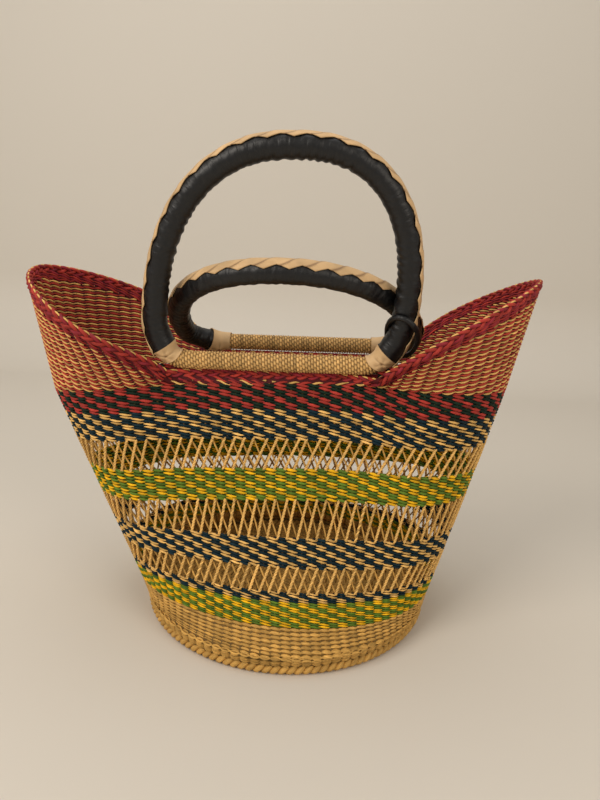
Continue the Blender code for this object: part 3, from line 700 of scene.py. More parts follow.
def runs_of(mask):
    """First and last sample of each unbroken run of true samples that is long enough for a row."""
    edge = np.diff(np.concatenate(([0], mask.astype(int), [0])))
    runs = zip(np.flatnonzero(edge == 1), np.flatnonzero(edge == -1))
    return [(first, last) for first, last in runs if last - first > SHORTEST_ROW]


def wing_rows(name, rows):
    """Rows of unlike length, one object each. Each row is (first sample, last sample, heights, dyes)."""
    made = []
    for first, last, heights, dyes in rows:
        pick = np.arange(first, last)
        column = pick / SAMPLES_PER_COLUMN
        slant = np.interp(fine[pick], SLANT_PLACES, WING_SLANTS)
        step = WING_PITCH / low_height[pick]
        path, radius, side = twine(on_wing, heights[pick], step, fine[pick], column, slant, dyes)
        made.append(strands(name, path, side, radius, shades_of(dyes, column, WING_SPREAD), straw))
    return made


for name, node, centre_share in WINGS:
    rows = []
    for row in range(MOST_WING_ROWS):
        heights = (row + 0.5) * WING_PITCH / low_height
        below_rim = heights < (check_limit if row else FIRST_ROW_LIMIT)
        dyes = ("red", "cream") if row % 2 else ("cream", "red")
        runs = runs_of((np.abs(fine - centre_share) < WING_HALF_SHARE) & below_rim)
        rows += [(first, last, heights, dyes) for first, last in runs]
    seat(joined(name, wing_rows(name, rows)), "body", node)

# %% [markdown]
# Three rows in plain red follow the rim. They are measured down from it, and so they cross the ends of
# the checked rows. A dark skin behind the wings and these rows stands for the shade inside the weave.

# %% Red rows along the rim
LOWEST_RIM_ROW = 0.003
WING_SHADE_TOP, WING_SHADE_LEVELS = 0.985, 25
rows = []
for row in range(RIM_ROWS):
    heights = 1 - (RIM_ROW_START + (row + 0.5) * RIM_ROW_PITCH) / high_height
    dyes = ("crimson", "red") if row % 2 else ("red", "crimson")
    runs = runs_of(heights * low_height > LOWEST_RIM_ROW)
    rows += [(first, last, heights, dyes) for first, last in runs]
climbs = np.linspace(0, WING_SHADE_TOP, WING_SHADE_LEVELS)[:, None] + 0 * fine
shade = backing("wing_shade", on_wing, climbs, fine, DYES["crimson"] * BACKING_SHADE)
seat(joined("rim_rows", wing_rows("rim_rows", rows) + [shade]), "body", None)

# %% [markdown]
# ## Rim border
#
# The ends of the stakes are plaited down along the rim. The plait has three red strands: each swings up
# and down by a cosine and passes in and out by a sine of twice that turn. A pale stake end shows at each
# crossing on its upper edge, and a flat core in painted shade fills the gaps between the strands.

# %% Rim plait
PLAIT_TURNS, PLAIT_SAMPLES, PLAIT_SPREAD = 42, 24, 0.16
PLAIT_RADIUS, PLAIT_SWING, PLAIT_PASS = 0.0017, 0.0026, 0.0014
CORE_HALF_DEPTH, CORE_RISE = 0.0010, 0.0004
TICK_RADIUS, TICK_RISE = 0.0008, 0.0006
TICK_ARCH = np.array([0.6, 1, 1.12, 1, 0.6])[:, None]
TICK_TAPER = np.array([0.5, 1, 1.1, 1, 0.5])[:, None]


def rim_frame(share):
    """The rim's place in mid-wall, with level unit vectors out of it and unit vectors up from it."""
    centre, _, _, way = on_wing(1.0, share)
    flat_out = unit(np.stack([way[..., 1], -way[..., 0], 0 * way[..., 0]], axis=-1))
    return centre - flat_out * (WALL / 2), flat_out, unit(np.cross(flat_out, way))


samples = PLAIT_TURNS * PLAIT_SAMPLES
share = np.arange(samples) / samples
middle, flat_out, rim_up = rim_frame(share)
paths, shades = [], []
for third, dye in enumerate(("red", "crimson", "red")):
    turn = 2 * math.pi * (PLAIT_TURNS * share + third / 3)
    swing = PLAIT_SWING * np.cos(turn)[:, None] * rim_up
    paths.append(middle + swing + PLAIT_PASS * np.sin(2 * turn)[:, None] * flat_out)
    lift = uneven(PLAIT_SPREAD, 2 * PLAIT_TURNS + 2)
    shades.append(DYES[dye] * lift[np.round(2 * PLAIT_TURNS * share).astype(int)][:, None])
sides = np.stack([flat_out] * 3)
plait = strands("rim_plait", np.array(paths), sides, PLAIT_RADIUS, np.array(shades), straw, 8, True)
core_radii = (CORE_HALF_DEPTH, PLAIT_SWING + CORE_RISE)
# The core is coloured with painted shade: the crimson dye darkened.
dark = DYES["crimson"] * BACKING_SHADE
core = strands("rim_shade_core", middle[None], flat_out[None], core_radii, dark, straw, 8, True)

count = 3 * PLAIT_TURNS
tick = (np.arange(count)[:, None] + 0.5 + 0.5 * np.linspace(-1, 1, len(TICK_ARCH))) / count
middle, tick_out, tick_up = rim_frame(tick)
path = middle + tick_out * TICK_RISE + tick_up * TICK_ARCH * (PLAIT_SWING + TICK_RISE)
ticks = strands("rim_ticks", path, tick_up, TICK_RADIUS * TICK_TAPER, even_shades("cream", count), straw)
seat(joined("rim_plait", [plait, core, ticks]), "body", "rim_border")

# %% [markdown]
# ## Foot
#
# The stakes turn up at the edge of the base, and a straw rope of two plies hides the turn and carries
# the basket. Each ply is a helix round the rope's circle.

# %% Foot rope
FOOT_RADIUS, FOOT_ROPE_RADIUS = 0.1525, 0.0055
ROPE_TURNS, ROPE_SAMPLES, ROPE_SPREAD = 62, 10, 0.12
ROPE_PLY_OFFSET, ROPE_PLY_RADIUS = 0.0026, 0.0029


def level_circle(samples):
    """Evenly spaced angles of one turn, and their level unit vectors (cos, sin, 0)."""
    angle = np.arange(samples) / samples * 2 * math.pi
    return angle, np.stack([np.cos(angle), np.sin(angle), 0 * angle], axis=1)


angle, away = level_circle(ROPE_TURNS * ROPE_SAMPLES)
centre = away * FOOT_RADIUS + np.array([FOOT_SHIFT_X, 0, FOOT_ROPE_RADIUS])
paths, shades = [], []
for half in (0, 1):
    turn = ROPE_TURNS * angle + math.pi * half
    around = np.cos(turn)[:, None] * away + np.sin(turn)[:, None] * UPWARD
    paths.append(centre + ROPE_PLY_OFFSET * around)
    lift = uneven(ROPE_SPREAD, ROPE_TURNS + 1)
    shades.append(DYES["natural"] * lift[(angle / 2 / math.pi * ROPE_TURNS).astype(int)][:, None])
sides = np.stack([away, away])
rope = strands("foot_rope_strands", np.array(paths), sides, ROPE_PLY_RADIUS, np.array(shades), straw, 8, True)
seat(rope, "body", "foot_rope")

# %% [markdown]
# Underneath is a flat disc, twined round and round. Its rows grow longer outwards, so the stakes are
# doubled wherever they would stand too far apart. A thin core plate in painted shade fills the gaps
# between the rows.

# %% Base disc
DISC_ROWS, DISC_SAMPLES, DISC_MARGIN = 25, 360, 0.001
DISC_HEIGHT, DISC_SWING, DISC_PASS = 0.0030, 0.0014, 0.0016
DISC_STRAND, DISC_SPREAD = (0.0031, 0.0013), 0.1
FIRST_SPOKES, SPLIT_RADIUS, LEAST_RADIUS, MOST_SPLITS = 14, 0.022, 0.01, 3
PLATE_STEP, PLATE_MARGIN, PLATE_HALF_DEPTH = 8, 0.0005, 0.0004

angle, away = level_circle(DISC_SAMPLES)
disc_place = np.array([FOOT_SHIFT_X, 0, DISC_HEIGHT])
paths, shades = [], []
for radius in (np.arange(DISC_ROWS) + 0.5) / DISC_ROWS * (FOOT_RADIUS - DISC_MARGIN):
    doublings = int(np.clip(np.log2(max(radius, LEAST_RADIUS) / SPLIT_RADIUS), 0, MOST_SPLITS))
    spokes = FIRST_SPOKES * 2**doublings
    for strand in (0, 1):
        turn = spokes * angle / 2 + math.pi * strand
        path = away * (radius + DISC_SWING * np.sin(turn))[:, None]
        paths.append(path + disc_place + DISC_PASS * UPWARD * np.cos(turn)[:, None])
        lift = uneven(DISC_SPREAD, spokes + 1)
        shades.append(DYES["natural"] * lift[(turn / math.pi).astype(int) % spokes][:, None])
sides = np.stack([away] * len(paths))
disc = strands("base_twining", np.array(paths), sides, DISC_STRAND, np.array(shades), straw, 5, True)
away = away[::PLATE_STEP]
middle = away * (FOOT_RADIUS / 2) + disc_place
plate_radii = (FOOT_RADIUS / 2 - PLATE_MARGIN, PLATE_HALF_DEPTH)
# The plate is coloured with painted shade: the natural straw darkened.
dark = DYES["natural"] * BACKING_SHADE
plate = strands("base_shade_plate", middle[None], away[None], plate_radii, dark, straw, 8, True)
seat(joined("base_twining", [disc, plate]), "body", "base_disc")

# %% [markdown]
# ## Handles
#
# Each handle is one ring of bundled straw, bent to a D. Its flat bar is wrapped in fine straw cord, its
# arch sits in a sleeve of thin black leather that puckers where it bends, and a tan strip is laced along
# the outer side in overlapping folds. All of these pieces follow one line, the middle of the D, so they
# stay together when its width, height or lean changes.

# %% Line of the D
CORNER_RADIUS, BAR_HALF_LENGTH, LEG_FLARE = 0.014, 0.104, 1.2
BAR_RADIUS, SLEEVE_RADIUS, PATCH_LEG_RADIUS = 0.009, 0.0108, 0.0128
PATCH_BAR_RADIUS = 0.0097
SEAT_GAP, TANGENT_STEP = 0.0003, 0.0008
PART = 33
HANDLES = (
    {"name": "front", "bar": (-0.0065, -0.0520), "lean": 10.3, "height": 0.2000, "half_width": 0.1195,
     "widest_at": 0.044, "squareness": 2.366, "skew": 0.105, "turn": 0.0, "spread": 37,
     "bar_cut": (0.0085, 0.0075), "leg_cut": (0.0, -0.0022),
     "swell": 0.0015, "strip_rise": -0.003},
    {"name": "back", "bar": (0.0150, 0.0585), "lean": 57.8, "height": 0.1700, "half_width": 0.1260,
     "widest_at": 0.028, "squareness": 2.17, "skew": -0.073, "turn": 47.0, "spread": 52,
     "bar_cut": (-0.010, 0.0), "leg_cut": (-0.0165, 0.002),
     "swell": 0.0003, "strip_rise": 0.034},
)


def d_line(handle):
    """The D from the bar's middle to the right and round, as straight bar, bend, flared leg and arch."""
    widest, tall = handle["widest_at"], handle["height"]
    rise = np.linspace(CORNER_RADIUS / widest, 1, PART)
    flare = handle["half_width"] - BAR_HALF_LENGTH
    leg_x = BAR_HALF_LENGTH + flare * np.sin(rise * math.pi / 2) ** LEG_FLARE
    leg_z = widest * rise
    slope = (leg_x[1] - leg_x[0]) / (leg_z[1] - leg_z[0])
    pull = leg_x[0] - slope * leg_z[0]
    bar_x = np.linspace(0, pull - CORNER_RADIUS, PART)
    bend = np.linspace(0, 1, PART)
    corner_x = bar_x[-1] * (1 - bend) ** 2 + 2 * pull * bend * (1 - bend) + leg_x[0] * bend**2
    turn = np.linspace(0, math.pi / 2, 4 * PART)
    power = 2 / handle["squareness"]
    arch_x = handle["half_width"] * np.abs(np.cos(turn)) ** power
    arch_z = widest + (tall - widest) * np.sin(turn) ** power
    arch_x[-1] = 0.0
    x = np.concatenate((bar_x[:-1], corner_x[:-1], leg_x[:-1], arch_x))
    z = np.concatenate((bar_x[:-1] * 0, leg_z[0] * bend[:-1] ** 2, leg_z[:-1], arch_z))
    x, z = np.concatenate((x, -x[::-1][1:])), np.concatenate((z, z[::-1][1:]))
    return np.stack([x + handle["skew"] * z, x * 0, z], axis=1)


def standing(handle, points):
    """Points of the handle's own plane, leaned about X, tilted with the rim about Y and moved to the bar."""
    lean, tilt = math.radians(handle["lean"]), math.atan(RIM_TILT)
    about_x = np.array([[1, 0, 0], [0, math.cos(lean), -math.sin(lean)], [0, math.sin(lean), math.cos(lean)]])
    about_y = np.array([[math.cos(tilt), 0, -math.sin(tilt)], [0, 1, 0], [math.sin(tilt), 0, math.cos(tilt)]])
    x, y = handle["bar"]
    bar_height = RIM_LOW_HEIGHT - RIM_TUBE_DROP + RIM_TUBE_RADIUS + SEAT_GAP + BAR_RADIUS + RIM_TILT * x
    return points @ (about_y @ about_x).T + np.array([x, y, bar_height])


def run_of(path):
    """The distance of each point of a path from its start."""
    return np.concatenate(([0.0], np.cumsum(np.linalg.norm(np.diff(path, axis=0), axis=1))))


def at_runs(path, runs):
    """Points at the given distances along a path."""
    return np.stack([np.interp(runs, run_of(path), path[:, i]) for i in range(3)], axis=1)


def bend_runs(path):
    """For the right and the left side, the runs from the bar's middle to both ends of the bend."""
    run = run_of(path)
    return [(side[PART - 1], side[2 * PART - 2]) for side in (run, run[-1] - run[::-1])]


def round_line(handle, path, runs, angles, radii):
    """Points at point + radius (cos a spine + sin a side), for flat arrays of runs, angles and radii. The
    side is the plane's normal and the spine points outward in the plane."""
    length = run_of(path)[-1]
    steps = (0, TANGENT_STEP, -TANGENT_STEP)
    here, ahead, behind = [at_runs(path, np.mod(runs + step, length)) for step in steps]
    side = np.array([0.0, 1.0, 0.0])
    spine = np.cross(side, unit(ahead - behind))
    turned = np.cos(angles)[:, None] * spine + np.sin(angles)[:, None] * side
    return standing(handle, here + radii[:, None] * turned), standing(handle, here)


def round_skin(name, handle, path, runs, angles, radii, material, shades, closed=False):
    """A skin round the D. runs, angles and radii are (samples, spokes)."""
    runs, angles, radii = np.broadcast_arrays(runs, angles, radii)
    samples, spokes = runs.shape
    points, _ = round_line(handle, path, runs.ravel(), angles.ravel(), radii.ravel())
    girth = SLEEVE_RADIUS * float(abs(angles[0, -1] - angles[0, 0])) / (spokes - 1)
    shades = np.broadcast_to(shades, (samples, spokes, 3)).reshape(-1, 3)
    spans = (samples - 1, spokes if closed else spokes - 1)
    grid = (samples, spokes)
    return skin(name, points, grid, spans, lambda i, j: (runs[i, j % spokes], j * girth), shades, material)


# %% [markdown]
# ## Leather
#
# The sleeve is thin goat leather dyed black: a soft sheen, a fine grain and creases across the handle.
# The strip and the corner patches are the same leather undyed, pale tan and duller, with shade painted
# darker into their folds, pits and edges. The grain is drawn about a millimetre across, coarser than it
# is, so that it shows.


# %% Leather materials
GRAIN_SIZE, GRAIN_DEPTH = 0.0011, 0.0002
CREASE_PITCH, CREASE_STRETCH = 0.0042, 0.22
BLOTCHES_PER_METRE = 45.0
LEATHER_IOR = 1.45


def leather_material(name, roughness, crease_depth):
    """Leather with a fine grain, and creases that run across the strip or sleeve."""
    made, tree, shader = new_material(name)
    place = add_node(tree, "ShaderNodeTexCoord").outputs["Object"]
    strip = add_node(tree, "ShaderNodeUVMap", {"uv_map": "Strand"})
    pitch = (1 / CREASE_PITCH, CREASE_STRETCH / CREASE_PITCH, 1)
    squeeze = add_node(tree, "ShaderNodeMapping", Vector=strip.outputs[0], Scale=pitch)
    creases = add_node(
        tree, "ShaderNodeTexNoise", Vector=squeeze.outputs[0], Scale=1.0, Detail=2.0, Distortion=0.8
    )
    grain = add_node(tree, "ShaderNodeTexNoise", Vector=place, Scale=1 / GRAIN_SIZE, Detail=3.0)
    blotches = add_node(tree, "ShaderNodeTexNoise", Vector=place, Scale=BLOTCHES_PER_METRE, Detail=2.0)
    crease, fine_grain = creases.outputs["Fac"], grain.outputs["Fac"]
    deep = add_node(tree, "ShaderNodeBump", Strength=0.8, Distance=crease_depth, Height=crease)
    bump = add_node(
        tree, "ShaderNodeBump", Strength=0.35, Distance=GRAIN_DEPTH, Height=fine_grain, Normal=deep.outputs[0]
    )
    tree.links.new(bump.outputs["Normal"], shader.inputs["Normal"])
    light = add_node(
        tree, "ShaderNodeMapRange", Value=blotches.outputs["Fac"], i1=0.3, i2=0.7, i3=0.82, i4=1.14
    )
    dye = add_node(tree, "ShaderNodeVertexColor", {"layer_name": "Dye"}).outputs["Color"]
    scale = {"operation": "SCALE"}
    tint = add_node(tree, "ShaderNodeVectorMath", scale, Vector=dye, Scale=light.outputs["Result"])
    tree.links.new(tint.outputs["Vector"], shader.inputs["Base Color"])
    sheen = add_node(
        tree, "ShaderNodeMapRange", Value=fine_grain, i1=0.3, i2=0.7, i3=roughness - 0.06, i4=roughness + 0.1
    )
    tree.links.new(sheen.outputs["Result"], shader.inputs["Roughness"])
    shader.inputs["IOR"].default_value = LEATHER_IOR
    return made


black_leather = leather_material("black_goat_leather", 0.40, 0.0009)
tan_leather = leather_material("undyed_tan_leather", 0.58, 0.0003)
# The second tan is painted shade, mixed in where folds, pits and edges of the tan leather lie in shade.
TAN, TAN_PAINTED_SHADE, BLACK = linear("CDAA7C"), linear("674528"), linear("0D0D0F")

# %% [markdown]
# The sleeve is pulled over the bundle and puckers on the inner side of the bend. Cloth simulation would
# give such puckers too, but a few sines along and round the sleeve come out the same each time.

# %% Sleeve of the arch
SWELL_REACH, SLEEVE_GAP, SLEEVE_TUCK = 0.035, 0.0003, 0.002
SLEEVE_SAMPLES, SLEEVE_SPOKES = 460, 32
LONG_LUMP, SHORT_LUMP, PUCKER = 0.00020, 0.00012, 0.0006
LONG_WAVES, SHORT_WAVES, PUCKER_WAVES, DRIFT_WAVES, PATCHY_WAVES = 310, 790, 700, 90, 37
full_turn = 2 * math.pi


def swelling(handle, s, start, stop):
    """Swell e^(-distance / reach) from both ends: the sleeve grows thicker towards them."""
    return handle["swell"] * (np.exp(-(s - start) / SWELL_REACH) + np.exp(-(stop - s) / SWELL_REACH))


def cut_line(handle, bend, cut, angle):
    """A patch's edge: a run from an end of the bend that slants with the cosine of the angle round the D."""
    place, slant = handle[cut]
    return bend[0 if cut == "bar_cut" else 1] + place + slant * np.cos(angle)


def sleeve_skin(handle, path, bends):
    """Black sleeve: radius + soft lumps, sines of run and angle, + puckers on the inner side of the bend."""
    a = np.linspace(0, full_turn, SLEEVE_SPOKES, endpoint=False)[None]
    start = cut_line(handle, bends[0], "leg_cut", a) - SLEEVE_TUCK
    stop = run_of(path)[-1] - cut_line(handle, bends[1], "leg_cut", a) + SLEEVE_TUCK
    s = start + (stop - start) * np.linspace(0, 1, SLEEVE_SAMPLES)[:, None]
    lumps = LONG_LUMP * np.sin(s * LONG_WAVES + 1.7 * np.sin(a * 2))
    lumps = lumps + SHORT_LUMP * np.sin(s * SHORT_WAVES + 3 * a)
    inner = np.clip(-np.cos(a), 0, 1) * (0.55 + 0.45 * np.sin(s * PATCHY_WAVES + 1))
    pucker = PUCKER * inner * np.sin(s * PUCKER_WAVES + 2 * np.sin(s * DRIFT_WAVES) + 2.5 * a)
    radius = SLEEVE_RADIUS + SLEEVE_GAP + swelling(handle, s, start, stop) + lumps + pucker
    name = handle["name"] + "_sleeve_leather"
    return round_skin(name, handle, path, s, a, radius, black_leather, BLACK, True)


# %% [markdown]
# The lacing strip lies on the sleeve in folds like roof tiles. A triangle wave moves its edge in and out,
# and a slanted sawtooth lifts each fold off the one before it, with a fine line of painted shade at each
# step.

# %% Laced strip
FOLD_PITCH, FOLD_LIFT, FOLD_SLANT = 0.0215, 0.0008, 0.6
STRIP_THICKNESS, STRIP_GAP = 0.0008, 0.0006
STRIP_TOOTH = math.radians(11)
STRIP_SAMPLES, STRIP_SPOKES = 600, 17
STEP_WIDTH, STEP_FADE, STEP_SHADE_STRENGTH = 0.10, 0.07, 0.8


def triangle(phase):
    """A wave of straight ramps between -1 and 1, one up and down for each whole phase."""
    return 4 * np.abs(phase % 1 - 0.5) - 1


def skin_thickness(piece, thickness):
    """A Solidify modifier that adds the thickness outward."""
    shell = piece.modifiers.new("Thickness", "SOLIDIFY")
    shell.thickness, shell.offset = thickness, 1.0
    return piece


def mixed_with_painted_shade(base, fold, share):
    """A base colour mixed with a painted shade colour by a share for each place."""
    return base * (1 - share[..., None]) + fold * share[..., None]


def strip_skin(handle, path, bends):
    """Tan strip: a triangle wave along its edges, a slanted sawtooth of folds across it, painted shade at
    each step.
    """
    start = cut_line(handle, bends[0], "leg_cut", 0.0) + handle["strip_rise"]
    stop = run_of(path)[-1] - cut_line(handle, bends[1], "leg_cut", 0.0) - handle["strip_rise"]
    s = np.linspace(start, stop, STRIP_SAMPLES)[:, None]
    a = np.linspace(-1, 1, STRIP_SPOKES)[None]
    tooth = STRIP_TOOTH * triangle(s / FOLD_PITCH + 0.25 * np.sign(a))
    angles = math.radians(handle["turn"]) + a * (math.radians(handle["spread"]) + tooth)
    fold = (s / FOLD_PITCH + FOLD_SLANT * a) % 1
    radius = SLEEVE_RADIUS + STRIP_GAP + swelling(handle, s, start, stop) + FOLD_LIFT * fold
    # Painted shade: a fine dark line along the step where each fold lies on the next.
    dark = STEP_SHADE_STRENGTH * np.clip((STEP_WIDTH - np.minimum(fold, 1 - fold)) / STEP_FADE, 0, 1)
    shades = mixed_with_painted_shade(TAN, TAN_PAINTED_SHADE, dark)
    name = handle["name"] + "_strip_leather"
    strip = round_skin(name, handle, path, s, angles, radius, tan_leather, shades)
    return skin_thickness(strip, STRIP_THICKNESS)


# %% [markdown]
# A corner patch covers the bend, where sleeve and bar meet. It is drawn together at one point, so a small
# pit with a raised ring round it and five faint rays is added to its radius, and shade is painted into the
# pit, between the rays and along both edges.

# %% Corner patches
PATCH_SAMPLES, PATCH_SPOKES, PATCH_THICKNESS = 60, 48, 0.0007
RING_HEIGHT, RING_REACH, PIT_DEPTH, PIT_REACH = 0.0012, 0.0042, 0.0026, 0.0015
RAYS, RAY_HEIGHT, RAY_DISTANCE, RAY_REACH = 5, 0.0004, 0.005, 0.0035
PIT_SHADE_STRENGTH, PIT_SHADE_REACH, RAY_SHADE_STRENGTH, EDGE_SHADE_STRENGTH, EDGE_START = 0.95, 0.0016, 0.35, 0.35, 0.485
NO_ZERO = 1e-9


def bell(distance, reach):
    """e^(-(distance / reach)^2)."""
    return np.exp(-((distance / reach) ** 2))


def patch_skin(handle, path, bend, label):
    """Tan corner patch: its edges slant, and it is gathered to a small pucker on its near side."""
    t = np.linspace(0, 1, PATCH_SAMPLES)[:, None]
    a = np.linspace(0, full_turn, PATCH_SPOKES, endpoint=False)[None]
    begin, end = cut_line(handle, bend, "bar_cut", a), cut_line(handle, bend, "leg_cut", a)
    s = begin + (end - begin) * t
    radius = PATCH_BAR_RADIUS + (PATCH_LEG_RADIUS - PATCH_BAR_RADIUS) * (1 - np.cos(t * math.pi / 2))
    near = (a - 1.5 * math.pi) * PATCH_BAR_RADIUS
    away = (t - 0.5) * (end - begin)
    distance = np.hypot(near, away)
    rays = np.sin(RAYS * np.arctan2(near, away + NO_ZERO)) * bell(distance - RAY_DISTANCE, RAY_REACH)
    radius = radius + RING_HEIGHT * bell(distance, RING_REACH) - PIT_DEPTH * bell(distance, PIT_REACH)
    # Painted shade: darker in the pit, in the hollows of the rays and along both edges of the patch.
    dark = PIT_SHADE_STRENGTH * bell(distance, PIT_SHADE_REACH) - RAY_SHADE_STRENGTH * np.minimum(rays, 0)
    dark = np.clip(np.clip(dark, 0, 1) + EDGE_SHADE_STRENGTH * (np.abs(t - 0.5) > EDGE_START), 0, 1)
    if label == "left":
        s = run_of(path)[-1] - s
    name = handle["name"] + "_" + label + "_patch_leather"
    shades = mixed_with_painted_shade(TAN, TAN_PAINTED_SHADE, dark)
    patch = round_skin(name, handle, path, s, a, radius + RAY_HEIGHT * rays, tan_leather, shades, True)
    if label == "left":
        patch.data.flip_normals()
    return skin_thickness(patch, PATCH_THICKNESS)


# %% [markdown]
# The bar is wound with one straw cord, turn beside turn. A helix round the bar's line is the cord's own
# path, so its turns, its plies and its uneven colour follow from one strand. All pieces of a handle ride
# on its body, and each one stands for its own solid.

# %% Bar cord and the pieces of each handle
CORD_PITCH, CORD_RADIUS, CORD_TWIST = 0.0028, 0.00145, 0.0095
CORD_FLATNESS, CORD_LIFT, CORD_TUCK, CORD_STEPS = 0.98, 0.0003, 0.002, 18
CORD_STRAW, CORD_SPREAD = linear("CDA468"), 0.15
corded_straw = straw_material("twisted_straw_cord", 0.62, 0.25, CORD_TWIST)


def bar_cord(handle, path, bends):
    """One straw cord, a helix of the run round the bar, until it goes under both patches."""
    right_end, left_end = [cut_line(handle, bend, "bar_cut", 0.0) + CORD_TUCK for bend in bends]
    turns = int((right_end + left_end) / CORD_PITCH)
    turn = np.linspace(0, full_turn * turns, turns * CORD_STEPS + 1)
    runs = np.linspace(-left_end, right_end, len(turn))
    helix, middle = round_line(handle, path, runs, turn, 0 * turn + BAR_RADIUS - CORD_RADIUS + CORD_LIFT)
    shade = CORD_STRAW * uneven(CORD_SPREAD, 2 * turns + 2)[(turn / math.pi).astype(int)][:, None]
    radii = (CORD_RADIUS, CORD_RADIUS * CORD_FLATNESS)
    name = handle["name"] + "_bar_cord"
    return strands(name, helix[None], unit(helix - middle)[None], radii, shade[None], corded_straw, sides=7)


for handle in HANDLES:
    name = handle["name"]
    body = name + "_handle"
    path = d_line(handle)
    bends = bend_runs(path)
    seat(sleeve_skin(handle, path, bends), body, name + "_sleeve")
    seat(strip_skin(handle, path, bends), body, name + "_lace")
    for label, bend in zip(("right", "left"), bends):
        seat(patch_skin(handle, path, bend, label), body, name + "_" + label + "_patch")
    seat(bar_cord(handle, path, bends), body, name + "_bar_wrap")

# %% [markdown]
# Two dark red cords twist round each other in the groove under each bar. The bar hides how the real one
# is bound on, so they are a guess that fills the groove. They stay with the woven body.

# %% Binding cords
BINDING_RADIUS, BINDING_GAP, BINDING_TWIST = 0.0017, 0.0003, 0.008
BINDING_SHIFT, BINDING_LIFT = 0.0035, 0.0006
BINDING_OFFSET, BINDING_PLY_RADIUS, BINDING_SAMPLES = 0.0005, 0.0012, 400
along = np.linspace(-BAR_HALF_LENGTH, BAR_HALF_LENGTH, BINDING_SAMPLES)
turn = along / BINDING_TWIST * full_turn
drop = BAR_RADIUS + BINDING_GAP + BINDING_RADIUS - BINDING_LIFT
cords = []
for handle in HANDLES:
    inward = 0 * along - math.copysign(BINDING_SHIFT, handle["bar"][1])
    under = standing(dict(handle, lean=0.0), np.stack([along, inward, 0 * along - drop], axis=1))
    for half in (0, math.pi):
        around = np.stack([0 * turn, np.cos(turn + half), np.sin(turn + half)], axis=1)
        cords.append(under + BINDING_OFFSET * around)
sides = np.broadcast_to(np.array([0.0, 1.0, 0.0]), (len(cords), len(along), 3))
shades = even_shades("crimson", len(cords))
binding = strands("bar_binding_cords", np.array(cords), sides, BINDING_PLY_RADIUS, shades, straw)
seat(binding, "body", None)

# %% [markdown]
# A leather thong makes a loop round the right leg of the front handle. It hangs aslant, with its back
# lower than its front, so its height on the leg falls with the place across and behind.

# %% Keeper loop
KEEPER_RADIUS, KEEPER_HEIGHT, KEEPER_FALL = 0.0160, 0.023, (0.56, 1.2)
KEEPER_SHIFT, KEEPER_WIDTH, KEEPER_SAMPLES = 0.0025, 1.03, 96
THONG_RADII, KEEPER_STEP = (0.0024, 0.0028), 0.0015
handle = HANDLES[0]
path = d_line(handle)
turn = np.linspace(0, full_turn, KEEPER_SAMPLES, endpoint=False)
across = KEEPER_SHIFT + KEEPER_WIDTH * KEEPER_RADIUS * np.cos(turn)
behind = KEEPER_RADIUS * np.sin(turn)
run = run_of(path)[2 * PART - 2] + KEEPER_HEIGHT - KEEPER_FALL[0] * across - KEEPER_FALL[1] * behind
here = at_runs(path, run)
back = np.array([0.0, 1.0, 0.0])
side = np.cross(back, unit(at_runs(path, run + KEEPER_STEP) - here))
loop = standing(handle, here + side * across[:, None] + back * behind[:, None])
outward = unit(loop - standing(handle, here))
keeper = strands("keeper_thong", loop[None], outward[None], THONG_RADII, BLACK, black_leather, 10, True)
seat(keeper, "front_handle", "keeper_ring")

# %% [markdown]
# The two ring cores stay as solids, since only their coverings show. They are bundles of undyed straw:
# a fine noise mixes a dark and a light straw colour, and the surface is dull.

# %% Core straw
CORE_NOISE_PER_METRE, CORE_ROUGHNESS = 600.0, 0.7
core_straw, tree, shader = new_material("bundled_core_straw")
place = add_node(tree, "ShaderNodeTexCoord").outputs["Object"]
fibres = add_node(tree, "ShaderNodeTexNoise", Vector=place, Scale=CORE_NOISE_PER_METRE, Detail=3.0)
dark, light = (*linear("6E4E24"), 1), (*DYES["natural"], 1)
mixed = add_node(tree, "ShaderNodeMix", {"data_type": "RGBA"}, i0=fibres.outputs["Fac"], i6=dark, i7=light)
tree.links.new(mixed.outputs[2], shader.inputs["Base Color"])
shader.inputs["Roughness"].default_value = CORE_ROUGHNESS
for name in ("front_core", "back_core"):
    for material_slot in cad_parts[name].material_slots:
        material_slot.material = core_straw
print("core straw on both ring cores")

# %% [markdown]
# ## Stage and light
#
# The floor bends up into a pale wall, so no edge shows behind the basket. A broad lamp stands on the
# upper left, a weaker one on the right, and a faint one hangs above. Broad lamps give soft shadows.

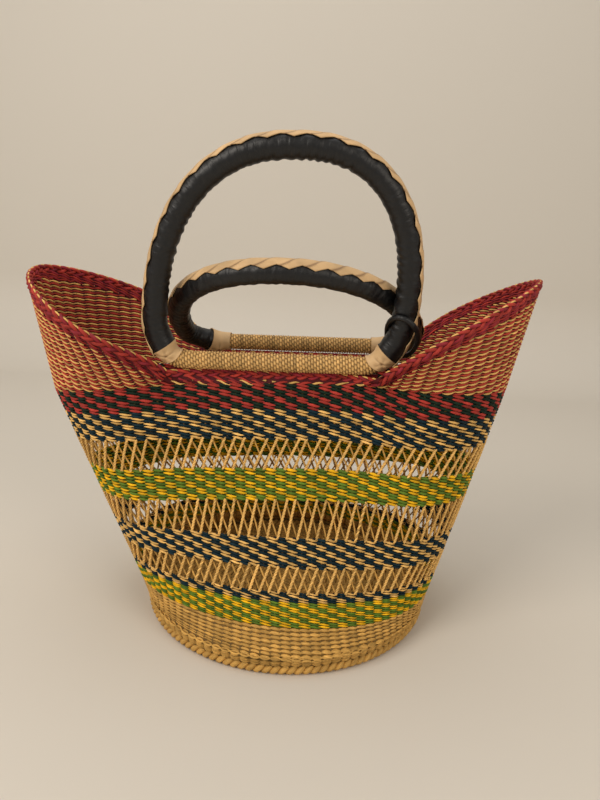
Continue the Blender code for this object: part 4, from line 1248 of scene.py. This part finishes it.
# %% Floor, light and world
FLOOR_WIDTH, FLOOR_FRONT, FLOOR_BACK, WALL_HEIGHT, COVE, COVE_SAMPLES = 6.0, -2.0, 1.2, 3.0, 0.25, 12
WORLD_STRENGTH = 0.45
LAMPS = (
    ("window_lamp", (-1.3, -1.2, 1.5), (0, 0, 0.2), 1.2, 26, "FFF6EA"),
    ("room_lamp", (1.3, -1.4, 1.2), (0, 0, 0.2), 1.2, 12, "FFF3E2"),
    ("ceiling_lamp", (0, 0.3, 2.2), (0, 0, 0), 1.6, 11, "FFFFFF"),
)
scene = bpy.context.scene
scene.view_settings.view_transform = "Standard"


def pale_material(name, colour, roughness):
    """Plain matt paint of one colour."""
    made, tree, shader = new_material(name)
    shader.inputs["Base Color"].default_value = (*linear(colour), 1)
    shader.inputs["Roughness"].default_value = roughness
    return made


bend = np.linspace(0, math.pi / 2, COVE_SAMPLES)
profile_y = np.concatenate(([FLOOR_FRONT], FLOOR_BACK - COVE + COVE * np.sin(bend), [FLOOR_BACK]))
profile_z = np.concatenate(([0], COVE * (1 - np.cos(bend)), [WALL_HEIGHT]))
ends = (-FLOOR_WIDTH / 2, FLOOR_WIDTH / 2)
rows = np.array([[(x, y, z) for x in ends] for y, z in zip(profile_y, profile_z)])
mesh = bpy.data.meshes.new("floor_sweep")
faces = [(2 * k, 2 * k + 1, 2 * k + 3, 2 * k + 2) for k in range(len(rows) - 1)]
mesh.from_pydata(rows.reshape(-1, 3).tolist(), [], faces)
mesh.shade_smooth()
mesh.materials.append(pale_material("painted_backdrop", "D3CCC1", 0.6))
sweep = bpy.data.objects.new("floor_sweep", mesh)
scene.collection.objects.link(sweep)


def area_light(name, place, aim, size, watts, colour):
    """A square lamp at a place, turned to face a point."""
    data = bpy.data.lights.new(name, "AREA")
    data.shape, data.size, data.energy = "SQUARE", size, watts
    data.color = linear(colour)
    lamp = bpy.data.objects.new(name, data)
    scene.collection.objects.link(lamp)
    lamp.location = place
    aim_vector = Vector(aim) - Vector(place)
    lamp.rotation_euler = aim_vector.to_track_quat("-Z", "Y").to_euler()
    return lamp


for lamp in LAMPS:
    area_light(*lamp)
world = bpy.data.worlds.new("world")
scene.world = world
world.use_nodes = True
background = world.node_tree.nodes["Background"]
background.inputs["Color"].default_value = (*linear("EDEAE4"), 1)
background.inputs["Strength"].default_value = WORLD_STRENGTH
print(len(LAMPS), "lamps, world at", WORLD_STRENGTH)
